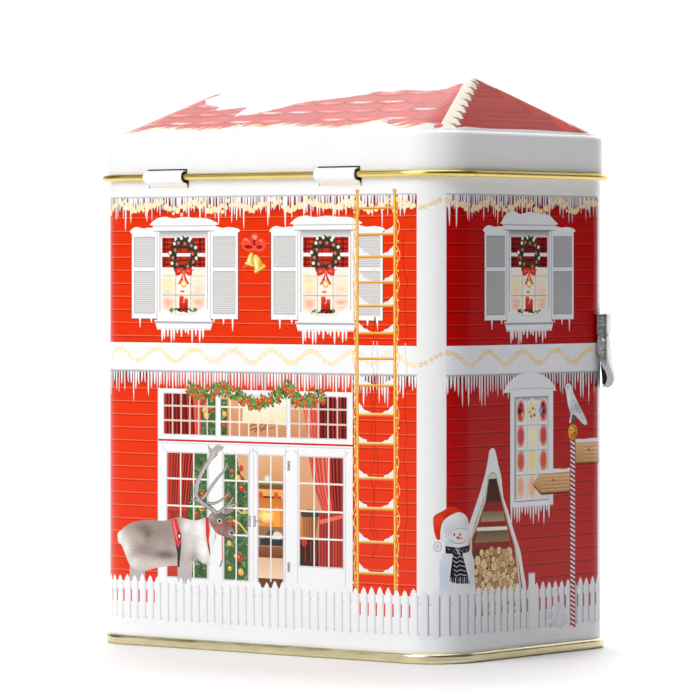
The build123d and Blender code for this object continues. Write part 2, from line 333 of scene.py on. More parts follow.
def shutter(p, u0, u1, z0, z1, tone):
    """Louvred shutter with snow along its top."""
    p.box(u0 - 0.25, z0 - 0.2, u1 + 0.25, z1, tone["gap"])
    p.box(u0, z0, u1, z1, tone["white"])
    mid = z0 + (z1 - z0) * 0.565
    for low, high in ((z0 + 1.4, mid - 0.5), (mid + 0.6, z1 - 1.5)):
        p.box(u0 + 0.9, low, u1 - 0.9, high, tint(tone["louvre"], 0.82))
        p.box(u0 + 1.15, low + 0.15, u1 - 1.05, high - 0.3, tone["louvre"])
        n = int((high - low) / 0.62)
        for i in range(n):
            z = low + 0.3 + i * (high - low - 0.5) / n
            p.box(u0 + 1.25, z, u1 - 1.15, z + 0.16, tint(tone["louvre"], 0.87))
            p.box(u0 + 1.25, z + 0.16, u1 - 1.15, z + 0.3, tint(tone["louvre"], 1.07))
    w = u1 - u0
    p.blob([
        (u0 - 0.3, z1 - 0.4), (u0 - 0.1, z1 + 0.6), (u0 + w * 0.18, z1 + 1.3), (u0 + w * 0.45, z1 + 0.9),
        (u0 + w * 0.7, z1 + 1.1), (u1 + 0.1, z1 + 0.6), (u1 + 0.3, z1 - 0.3), (u0 + w * 0.5, z1 - 0.5),
    ], tone["white"])


def wreath(p, u, z, r):
    """Dark fir disc with leaves round its rim."""
    p.disc(u, z, r * 0.93, r * 0.93, (46, 48, 38), 22)
    for i in range(36):
        a = 2 * math.pi * i / 36
        leaf = ((50, 52, 40), (74, 78, 56), (58, 62, 44))[i % 3]
        k = 0.9 if i % 2 else 0.8
        p.disc(u + r * k * math.cos(a), z + r * k * math.sin(a), r * 0.17, r * 0.08, leaf, 6, a + 0.9)


def wreath_ring(p, u, z, r, back):
    """Fir ring with white and red berries. back draws what shows through its middle."""
    wreath(p, u, z, r)
    back()
    for i in range(30):
        a = 2 * math.pi * (i + 0.5) / 30
        leaf = ((46, 48, 38), (70, 74, 54), (58, 60, 46))[i % 3]
        k = 0.56 if i % 2 else 0.7
        p.disc(u + r * k * math.cos(a), z + r * k * math.sin(a), r * 0.16, r * 0.09, leaf, 6, a - 0.7)
    for i in range(20):
        a = 2 * math.pi * (i + 0.5) / 20
        k = r * (0.62, 0.9, 0.72, 0.86)[i % 4]
        paint = (240, 238, 216) if i % 2 else (226, 104, 96)
        p.disc(u + k * math.cos(a), z + k * math.sin(a), r * 0.095, r * 0.095, paint, 8)


def bow(p, u, z, size, paint, light):
    """Ribbon bow with two tails."""
    for side in (-1, 1):
        p.blob([
            (u, z + 0.15 * size), (u + side * 0.55 * size, z + 0.5 * size),
            (u + side * 1.05 * size, z + 0.35 * size), (u + side * 1.0 * size, z - 0.25 * size),
            (u + side * 0.5 * size, z - 0.2 * size),
        ], paint)
        p.blob([
            (u + side * 0.3 * size, z + 0.18 * size), (u + side * 0.7 * size, z + 0.3 * size),
            (u + side * 0.8 * size, z + 0.0 * size),
        ], light)
        p.area([
            (u, z), (u + side * 0.75 * size, z - 1.15 * size), (u + side * 0.4 * size, z - 1.05 * size),
            (u + side * 0.2 * size, z - 1.3 * size),
        ], paint)
    p.disc(u, z, 0.26 * size, 0.24 * size, light, 8)


def upper_window(p, c, tone, k, seed):
    """Window with shutters, wreath, candles and snow. Its middle is at c, its width scaled by k."""
    own = random.Random(seed)

    def x(v):
        return c + v * k

    white, shade = tone["white"], tone["shade"]
    line = tint(tone["louvre"], 0.72)
    for left, right in ((-19.3, -9.8), (9.7, 19.6)):
        shutter(p, x(left), x(right), SHUTTER_LOW, SHUTTER_TOP, tone)
    for u, run in ((-16.2, 2.6), (-12.0, 1.2), (14.4, 1.6), (17.7, 3.4), (11.0, 1.0)):
        p.area([
            (x(u - 0.38), 92.6), (x(u - 0.1), 92.4 - run), (x(u + 0.1), 92.4 - run), (x(u + 0.38), 92.6),
        ], white)
    # casing
    p.box(x(-9.9), 91.4, x(9.8), 117.2, white)
    p.box(x(-9.95), 92.4, x(-9.8), 116.8, line)
    p.box(x(9.6), 92.4, x(9.75), 116.8, line)
    p.box(x(-8.95), 93.0, x(-8.7), 116.9, line)
    p.box(x(8.5), 93.0, x(8.75), 116.9, tint(line, 1.15))
    p.box(x(-8.6), 115.0, x(8.4), 116.7, fade(tint(shade, 1.05), tint(line, 1.12), 115.0, 116.7))
    p.box(x(-9.4), 116.6, x(9.3), 116.85, line)

    def blind():
        for low, high in ((106.7, 109.7), (110.7, 115.0)):
            p.box(x(-8.0), low, x(7.7), high, tone["tartan"])
            for i in range(5):
                u = -7.6 + i * 3.25
                p.box(x(u), low, x(u + 0.9), high, tint(tone["tartan"], 0.66))
                p.box(x(u + 1.5), low, x(u + 1.65), high, tone["tartan_dark"])
                p.box(x(u + 2.3), low, x(u + 2.5), high, tint(tone["tartan"], 1.22))
            for z in (107.4, 108.7, 111.6, 112.9, 114.2):
                if low < z < high:
                    p.box(x(-8.0), z, x(7.7), z + 0.35, tone["tartan_dark"])
        p.box(x(-8.6), 109.7, x(8.4), 110.7, white)
        for u in (-3.0, 2.5):
            p.box(x(u - 0.45), 110.7, x(u + 0.45), 115.0, white)

    # glass: tartan blind above, cream room below
    p.box(x(-8.2), 93.2, x(7.9), 106.7, (247, 240, 226))
    glow = soft(
        (248, 240, 224), (x(-5.8), 102.1, 1.9, 2.0, (247, 224, 150), 1.0),
        (x(5.3), 101.6, 2.1, 2.3, (248, 214, 186), 0.8), (x(5.3), 103.6, 2.4, 0.9, (247, 240, 214), 0.9),
        (x(-5.8), 97.2, 1.8, 2.1, (246, 176, 142), 1.0), (x(5.3), 97.4, 1.9, 2.1, (246, 178, 144), 1.0),
        (x(0), 106.0, 8.0, 0.9, (240, 240, 236), 0.8),
    )
    p.mesh_points(x(-7.9), 93.6, x(7.6), 106.5, 0.75)
    p.box(x(-8.0), 93.4, x(7.7), 106.7, glow)
    blind()
    for u in (-3.0, 2.5):
        p.box(x(u - 0.13), 93.4, x(u + 0.13), 106.7, (186, 180, 174))
    for z, paint in ((104.2, (214, 210, 204)), (98.8, (182, 176, 170))):
        p.box(x(-8.0), z, x(7.7), z + 0.28, paint)
    p.box(x(-1.3), 99.7, x(0.2), 100.2, (226, 84, 66))
    # candles, leaves and the drift on the sill
    for u, w, top in ((-0.9, 0.8, 98.6), (0.8, 0.7, 97.9), (-0.2, 0.55, 97.0)):
        p.box(x(u - w), 94.6, x(u + w), top, fade((176, 30, 16), (232, 70, 46), 94.8, top))
        p.box(x(u + w * 0.5), 94.6, x(u + w), top - 0.1, fade((130, 20, 12), (196, 48, 34), 94.8, top))
        p.disc(x(u), top, w, 0.2, (244, 130, 104), 8)
    for i in range(26):
        u = own.uniform(-4.8, 4.6)
        leaf = (LEAVES[i % 4] if abs(u) > 2.0 else ((64, 34, 26), (96, 30, 22))[i % 2])
        p.disc(x(u), 94.6 + own.uniform(-0.3, 0.5), 0.7, 0.24, leaf, 6, own.uniform(-0.7, 0.7))
    p.blob([
        (x(-8.2), 95.0), (x(-5.6), 94.1), (x(-2.4), 93.7), (x(1.5), 93.7), (x(4.6), 94.3), (x(7.9), 95.7),
        (x(8.2), 92.6), (x(-8.2), 92.4),
    ], white, 3)
    p.curve([(x(-5.6), 93.9), (x(-2.4), 93.5), (x(1.5), 93.5), (x(4.4), 94.0)], 0.16, shade)
    wreath_ring(p, x(-0.15), 110.0, 5.5, lambda: blind_in_wreath(p, x, tone, white))
    bow(p, x(-0.1), 105.2, 2.9, (214, 50, 38), (240, 104, 84))
    p.disc(x(-0.1), 102.2, 1.15, 1.15, GOLD, 12)
    p.disc(x(-0.1), 102.2, 0.7, 0.7, (250, 240, 220), 10)
    # lintel and its snow
    p.box(x(-11.5), 116.9, x(11.5), 119.4, white)
    p.box(x(-11.4), 118.2, x(11.3), 118.42, tint(line, 1.15))
    p.box(x(-11.3), 116.8, x(11.3), 117.0, tint(line, 1.1))
    peak = 1.0 if k > 1.04 else 0.0
    cap = [
        (-12.6, 118.6), (-12.0, 119.2), (-11.0, 119.9), (-9.4, 120.6), (-6.5, 120.9), (-4.0, 120.4),
        (0.0, 120.8), (4.0, 120.5), (8.6, 120.3), (11.4, 119.4), (12.5, 118.8), (11.6, 118.5), (6.0, 118.6),
        (-3.0, 118.5), (-11.0, 118.6),
    ]
    p.blob([(x(u), z + (peak * (z - 119) / 1.6 if z > 119.5 else 0)) for u, z in cap], white, 3)
    # sill and its icicles
    p.area([
        (x(-10.9), 91.9), (x(10.5), 91.9), (x(10.3), 90.8), (x(9.7), 89.2), (x(-9.8), 89.2),
        (x(-10.4), 90.8),
    ], white)
    p.area([
        (x(-10.6), 91.5), (x(10.3), 91.5), (x(10.2), 90.9), (x(-10.4), 90.9),
    ], fade(tint(shade, 0.98), tint(line, 0.95), 90.9, 91.5))
    p.area([(x(-9.9), 89.7), (x(9.8), 89.7), (x(9.6), 89.2), (x(-9.7), 89.2)], tint(shade, 1.03))
    for u, run in (
        (-8.0, 3.6), (-7.2, 2.6), (-5.9, 2.0), (-4.6, 3.5), (-3.6, 3.4), (-2.4, 1.0), (-0.9, 2.2),
        (0.6, 0.9), (1.6, 1.4), (3.0, 3.5), (4.4, 1.6), (5.8, 3.3), (7.0, 2.4),
    ):
        run *= own.uniform(0.9, 1.05)
        w = 0.42
        p.area([
            (x(u - w), 89.5), (x(u - w * 0.7), 89.2 - run * 0.6), (x(u - 0.1), 89.2 - run),
            (x(u + 0.1), 89.2 - run), (x(u + w * 0.7), 89.2 - run * 0.6), (x(u + w), 89.5),
        ], white)


def blind_in_wreath(p, x, tone, white):
    """The blind seen through the wreath."""
    r = 2.6
    p.disc(x(-0.15), 109.8, r, r, tone["tartan"], 20)
    p.box(x(-1.8), 112.0, x(1.5), 112.4, tone["tartan_dark"])
    p.box(x(-1.9), 108.5, x(1.6), 108.85, tone["tartan_dark"])
    for u in (-1.6, 1.2):
        p.box(x(u), 108.3, x(u + 0.5), 112.2, tint(tone["tartan"], 0.66))
    p.box(x(-0.15 - r), 109.75, x(-0.15 + r), 110.65, white)


def storey_band(p, u0, u1, tone, waves, seed):
    """White band between the storeys with a string of bulbs in waves."""
    p.box(u0, BAND_LOW, u1, BAND_TOP, tone["white"])
    lights(p, u0, u1, BULBS_Z, BULBS_SWING, *waves, 0.55, tone, 0.12, seed)
    p.box(u0, BAND_LOW - 0.1, u1, BAND_LOW + 0.3, tint(DIM, 0.93))
    p.box(u0, BAND_LOW + 0.3, u1, BAND_LOW + 0.6, tint(SHADE, 1.03))
    p.box(u0, BAND_TOP - 0.15, u1, BAND_TOP + 0.1, tint(tone["board"], 0.8))


def eaves_band(p, u0, u1, tone, waves, seed):
    """Icicles and strings of bulbs under the lid's edge, a sparse row of each over a dense one."""
    period, phase = waves
    icicles(p, u0, u1, EAVES_ICE_Z, tone, 2.4, 4.6, 1.08, 5.4, seed)
    lights(p, u0, u1, 123.8, 1.0, period, phase, 0.66, tone, 0.8, seed + 1)
    icicles(p, u0 + 0.5, u1, EAVES_ICE_Z, tone, 2.0, 6.4, 2.1, 0, seed + 9)
    lights(p, u0 + 0.6, u1, 123.6, 1.2, period, phase + 0.8, 0.46, tone, 1.2, seed + 5)
    p.box(u0 - 3, EAVES_ICE_Z, u1 + 3, PRINT_TOP, WHITE)
    p.box(u0, EAVES_ICE_Z - 0.1, u1, EAVES_ICE_Z + 0.35, tint(SHADE, 0.93))


def fence(p, u0, u1, tone, pitch, top, seed):
    """Picket fence over snowy ground. What is behind shows between the pickets."""
    own = random.Random(seed)
    white, shade, slit = tone["white"], tone["shade"], tone["slit"]
    p.box(u0, 3.0, u1, 8.2, fade((250, 251, 254), white, 4.0, 9.0))
    for z0, z1 in ((15.9, 18.1), (8.0, 12.3)):
        p.box(u0, z0, u1, z1, white)
        p.box(u0, z0 - 0.14, u1, z0 + 0.2, shade)
    n = round((u1 - u0) / pitch)
    step = (u1 - u0) / n
    for i in range(n):
        u = u0 + (i + 0.5) * step + own.uniform(-0.08, 0.08)
        w = step * 0.35
        h = top + own.uniform(-0.25, 0.35)
        low = 7.4 + own.uniform(-0.3, 0.3)
        p.area([(u + w, low), (u + w + 0.42, low + 0.2), (u + w + 0.42, h - 2.1), (u + w, h - 1.6)], slit)
        p.area([
            (u - w, low), (u + w, low), (u + w, h - 1.7), (u + w * 0.62, h - 0.75), (u, h),
            (u - w * 0.62, h - 0.75), (u - w, h - 1.7),
        ], white)
        p.area([
            (u + w * 0.55, low), (u + w, low), (u + w, h - 1.7), (u + w * 0.62, h - 0.8),
        ], fade(white, tint(white, 0.95), low, h))
    for _ in range(9):
        u, z = own.uniform(u0, u1 - 10), 4.2 + own.random() * 2.6
        p.box(u, z, u + own.uniform(4, 10), z + 0.15, tint(white, 0.985))


def panes(p, u0, u1, z0, z1, across, up, paint):
    """Glazing bars: upright ones at across, level ones at up."""
    for u in across:
        p.box(u - 0.24, z0, u + 0.24, z1, paint)
    for z in up:
        p.box(u0, z - 0.26, u1, z + 0.26, paint)


def curtain(p, left, right, dark, light, folds, seed):
    """Hanging cloth between two edges, each a list of (u, z) from top to bottom, with folds along it."""
    own = random.Random(seed)
    p.area(left + right[::-1], dark)

    def between(t):
        return [(a[0] + (b[0] - a[0]) * t, a[1] + (b[1] - a[1]) * t) for a, b in zip(left, right)]

    for i in range(folds):
        t0 = (i + own.uniform(0.1, 0.25)) / folds
        t1 = (i + own.uniform(0.55, 0.8)) / folds
        mix = own.uniform(0.35, 1.0)
        paint = tuple(a + (b - a) * mix for a, b in zip(dark, light))
        p.area(between(t0) + between(t1)[::-1], paint)


def tree(p, u0, u1, z0, z1, seed, balls):
    """Part of a decorated fir that fills a pane."""
    own = random.Random(seed)
    p.box(u0, z0, u1, z1, (72, 104, 62))
    for i in range(int((u1 - u0) * (z1 - z0) * 0.9)):
        u, z = own.uniform(u0 + 0.5, u1 - 0.5), own.uniform(z0 + 0.5, z1 - 0.5)
        leaf = ((48, 76, 48), (98, 132, 84), (126, 150, 96), (60, 92, 58))[i % 4]
        run = min(own.uniform(0.5, 1.3), u1 - u - 0.05, u - u0 - 0.05)
        p.disc(u, z, run, 0.26, leaf, 6, own.choice((-0.7, 0.7, 2.4)) * 0.8 if run > 0.6 else 0)
    for i in range(balls):
        u, z = own.uniform(u0 + 1, u1 - 1), own.uniform(z0 + 1, z1 - 1)
        ball, glint = (((200, 60, 34), (240, 150, 110)), ((232, 182, 74), (252, 236, 170)))[i % 3 == 0]
        r = own.uniform(0.6, 1.05)
        p.disc(u, z, r, r, ball, 10)
        p.disc(u - 0.25 * r, z + 0.3 * r, 0.35 * r, 0.3 * r, glint, 6)


def fir_garland(p, path, half, seed):
    """Fir garland with berries along a smooth path."""
    own = random.Random(seed)
    line = spline(path, False, 10)
    for k in range(3):
        for u, z in line[:: 1 if k == 0 else 2]:
            for _ in range(3):
                a = own.uniform(0, 2 * math.pi)
                r = own.uniform(0.2, 1.0) * half
                run, w = own.uniform(0.9, 1.6), own.uniform(0.3, 0.46)
                c, n = math.cos(a), math.sin(a)
                a, b = u + r * c, z + r * n * 0.9
                leaf = LEAVES[min(3, k + own.randrange(2))]
                p.area([
                    (a - c * run * 0.6, b - n * run * 0.6), (a - n * w, b + c * w),
                    (a + c * run * 0.7, b + n * run * 0.7), (a + n * w, b - c * w),
                ], leaf)
    for i in range(0, len(line), 3):
        u, z = line[i]
        u, z = u + own.uniform(-0.7, 0.7), z + own.uniform(-1.1, 1.1) * half * 0.7
        r = own.uniform(0.5, 0.75)
        p.disc(u, z, r * 1.1, r * 1.1, (190, 62, 34), 8)
        p.disc(u, z + 0.1, r * 0.9, r * 0.85, BERRY, 8)
        p.disc(u - 0.2, z + 0.22, 0.24, 0.22, (246, 150, 96), 6)


def patio_doors(p, tone):
    """Tall glazed doors with a transom over them, and the room behind."""
    white, shade = WHITE, SHADE
    grey = tint(SHADE, 0.93)
    p.box(-37.9, 9.0, -37.6, 72.9, tint(shade, 0.9))
    p.box(-37.6, 9.0, 31.9, 72.9, white)
    p.box(31.9, 9.0, 32.15, 72.9, tint(tone["board"], 0.7))
    tan, tan_low = (222, 168, 124), (206, 142, 100)
    # transom
    for u0, u1 in ((-35.5, -16.7), (-14.7, 8.7), (10.2, 29.8)):
        p.box(u0 - 0.3, 59.7, u1 + 0.3, 71.6, shade)
        p.box(u0, 60.0, u1, 71.3, fade(tan_low, tan, 60, 71))
    curtain(p, [(-35.5, 71.3), (-35.5, 60)], [(-25, 71.3), (-24.2, 60)], (96, 20, 18), (206, 52, 42), 8, 21)
    curtain(
        p, [(-25.0, 71.3), (-24.2, 60)], [(-21.6, 71.3), (-22.1, 60)], (216, 78, 64), (240, 124, 106), 2,
        22,
    )
    tree(p, -22.0, -16.7, 60.0, 71.3, 31, 5)
    tree(p, -14.7, -12.4, 60.0, 70.0, 32, 2)
    p.area(
        [(-6.6, 71.3), (-7.0, 64.0), (8.7, 63.2), (8.7, 71.3)],
        fade((240, 226, 186), (247, 243, 216), 63, 70),
    )
    for pts in (
        [(-4.6, 61.5), (-1.5, 62.3), (1.0, 62.0), (4.5, 62.6)], [(-2.5, 61.2), (-0.5, 62.8), (0.3, 64.2)],
        [(-0.5, 61.4), (2.2, 63.6), (4.0, 64.1)], [(-5, 62.2), (-3.2, 63.2), (-1.8, 63.0)],
    ):
        p.curve(pts, 0.42, (132, 92, 60), 0.5)
    curtain(
        p, [(14.0, 71.3), (16.4, 60)], [(20.3, 71.3), (20.4, 60)], (206, 74, 62), (240, 128, 108), 4, 23,
    )
    curtain(p, [(20.3, 71.3), (20.4, 60)], [(29.8, 71.3), (29.8, 60)], (84, 14, 14), (176, 46, 38), 7, 24)
    panes(p, -35.5, -16.7, 60, 71.3, (-32.4, -29.2, -26.0, -22.8, -19.7), (67.9, 63.8), (226, 206, 194))
    panes(p, -14.7, 8.7, 60, 71.3, [-11.4 + 3.35 * i for i in range(6)], (63.8, 67.9), (246, 232, 214))
    panes(p, 10.2, 29.8, 60, 71.3, (13.3, 16.6, 20.0, 23.3, 26.6), (67.9, 63.8), (226, 202, 190))
    p.box(-37.6, 57.95, 31.9, 58.5, (206, 46, 38))
    p.box(-37.6, 57.3, 31.9, 57.55, shade)
    # lower panes
    glazed = ((-34.3, -19.8, 20.0), (-13.5, -5.0, 20.0), (-1.2, 7.5, 20.0), (13.5, 28.5, 24.9))
    for u0, u1, z0 in glazed:
        p.box(u0 - 0.45, z0 - 0.4, u1 + 0.45, 55.1, shade)
        p.box(u0, z0, u1, 54.7, fade(tan_low, tan, z0, 54))
        for a, b in ((u0, -1), (u1, 1)):
            p.line([(a + b * 0.3, 55.0), (a + b * 1.9, 56.5)], 0.22, grey)
    # left pane: curtain and tree
    tree(p, -27.0, -19.8, 20.0, 54.7, 33, 13)
    curtain(
        p, [(-34.3, 54.7), (-34.3, 36)], [(-24.2, 54.7), (-27.0, 36)], (118, 26, 20), (222, 74, 56), 9, 25,
    )
    p.box(-34.3, 20, -27.0, 36.2, (196, 60, 46))
    p.box(-34.3, 37.9, -27.2, 39.2, fade((150, 36, 30), (206, 70, 56), 37.9, 39.2))
    # double doors: tree on the left leaf, fireside room on the right leaf
    tree(p, -13.5, -5.0, 20.0, 54.7, 34, 20)
    p.area([(-9.2, 54.7), (-7.6, 49.5), (-5.0, 46.8), (-5.0, 54.7)], tan)
    p.disc(-7.4, 51.0, 0.8, 0.95, (206, 72, 40), 10)
    p.curve([(-10.4, 36.5), (-8.0, 35.6), (-5.2, 33.0)], 0.5, (232, 206, 96))
    p.curve([(-9.0, 39.5), (-7.0, 38.6), (-5.0, 38.9)], 0.5, (214, 196, 92))
    p.box(-1.2, 46.9, 7.5, 54.7, fade((214, 150, 104), (228, 176, 132), 47, 54))
    p.disc(1.9, 48.4, 1.35, 1.2, (196, 190, 184), 12)
    p.disc(1.9, 48.4, 0.8, 0.7, (236, 232, 224), 10)
    p.box(-1.2, 45.5, 7.5, 47.0, (132, 78, 40))
    p.box(-0.6, 46.7, 7.5, 47.35, (126, 136, 72))
    p.box(-1.2, 43.2, 7.5, 45.5, (232, 168, 96))
    p.box(-0.4, 42.8, 6.8, 43.6, (92, 56, 34))
    for u in (-0.9, 4.6):
        p.blob(
            [(u, 44.6), (u + 1.0, 44.5), (u + 1.4, 42.9), (u + 0.5, 42.2), (u - 0.2, 43.3)], (226, 76, 40),
        )
    p.box(-1.2, 35.0, 7.5, 43.0, fade((236, 150, 62), (206, 118, 50), 35, 43))
    p.disc(1.8, 38.2, 3.0, 2.0, (250, 196, 96), 14)
    p.disc(1.4, 38.0, 1.6, 1.1, (253, 228, 150), 12)
    p.blob([(4.4, 35.4), (4.2, 38.5), (5.3, 40.8), (6.4, 38.5), (6.3, 35.4)], (244, 164, 66))
    p.box(-1.2, 29.8, 7.5, 35.2, (150, 112, 84))
    p.blob([(0.6, 30.2), (1.2, 32.6), (3.0, 34.6), (4.4, 33.4), (4.2, 30.6)], (84, 80, 80))
    p.blob([(3.6, 31.8), (4.6, 33.8), (6.6, 33.6), (7.4, 32.4), (5.6, 31.6)], (226, 222, 218))
    p.box(-0.6, 30.0, 7.5, 31.8, (52, 52, 56))
    p.box(-1.2, 26.6, 7.5, 29.7, fade((112, 64, 40), (150, 90, 56), 26.6, 29.7))
    p.box(-1.2, 20.8, 7.5, 26.6, fade((240, 212, 184), (228, 186, 150), 20.8, 26.6))
    p.box(-1.2, 18.3, 7.5, 20.9, (110, 62, 38))
    # right pane: curtain tied back, log basket and stove
    curtain(
        p, [(16.6, 54.7), (18.6, 46), (21.6, 39.6)], [(23.4, 54.7), (24.0, 46), (25.0, 39.6)],
        (204, 66, 54), (240, 124, 104), 5, 26,
    )
    curtain(
        p, [(23.4, 54.7), (24.0, 46), (25.0, 39.6)], [(28.5, 54.7), (28.5, 46), (28.5, 39.6)], (96, 18, 16),
        (190, 56, 44), 4, 27,
    )
    curtain(
        p, [(20.2, 39.6), (20.0, 24.9)], [(28.5, 39.6), (28.5, 24.9)], (140, 34, 28), (226, 88, 72), 9, 28,
    )
    p.area([(20.2, 37.6), (28.5, 39.4), (28.5, 38.4), (20.4, 36.4)], (236, 108, 90))
    p.box(13.5, 24.9, 20.0, 32.4, (72, 34, 26))
    for i in range(6):
        u = 14.3 + i * 0.95
        p.box(u, 26, u + 0.35, 31.5, (128, 60, 40) if i % 2 else (44, 24, 20))
    p.blob([(14.0, 31.8), (14.6, 30.2), (16.0, 31.0), (15.4, 32.2)], (196, 56, 36))
    p.area(
        [(14.2, 38.4), (13.9, 33.0), (19.0, 32.4), (20.0, 38.6)],
        fade_u((196, 124, 72), (140, 82, 48), 14, 20),
    )
    for i in range(5):
        u = 14.9 + i * 0.95
        p.line([(u, 38.2), (u + 0.1, 33.0)], 0.2, (120, 70, 42))
    p.area([(13.8, 39.6), (14.1, 38.2), (20.1, 38.4), (20.5, 40.2), (16.5, 40.4)], (74, 62, 56))
    for (u0, u1, z0), across in zip(glazed, ((-29.4, -24.6), (-9.2,), (3.2,), (18.5, 23.6))):
        panes(p, u0, u1, z0, 54.7, across, (47.5, 39.9, 32.4), (240, 236, 230))
    # stiles, hinges and handles
    for u in (-19.2, -14.2, -4.5, -3.1, -1.7, 8.3, 12.6, 29.3):
        p.box(u, 20.0, u + 0.2, 57.0, grey)
    for z in (52.2, 24.3):
        p.box(9.1, z - 1.4, 10.0, z + 1.3, (158, 158, 160))
        p.box(9.3, z - 0.1, 9.8, z + 0.1, (110, 110, 112))
    for u in (-4.4, -2.6):
        p.box(u - 0.4, 34.9, u + 0.4, 38.0, (138, 138, 142))
        p.box(u - 0.15, 35.2, u + 0.15, 37.7, (196, 196, 198))
    p.line([(-2.2, 36.6), (0.2, 36.4)], 0.35, (150, 150, 152))
    p.line([(-4.8, 36.8), (-6.0, 36.9)], 0.35, (120, 120, 122))
    # icicles over the glass, and the garland on the transom
    icicles(p, -37.0, 31.5, BAND_ICE_Z, {**tone, "gap": (206, 96, 78)}, 3.4, 4.6, 1.05, 4.6, 41)
    fir_garland(p, [
        (-26.3, 72.9), (-23.6, 71.9), (-18.4, 71.4), (-14.6, 73.6), (-10.5, 71.8), (-6.0, 70.0),
        (-2.4, 68.8), (1.5, 69.6), (6.0, 71.6), (9.4, 73.6), (12.4, 70.4), (17.0, 70.3), (21.2, 71.8),
    ], 2.15, 42)


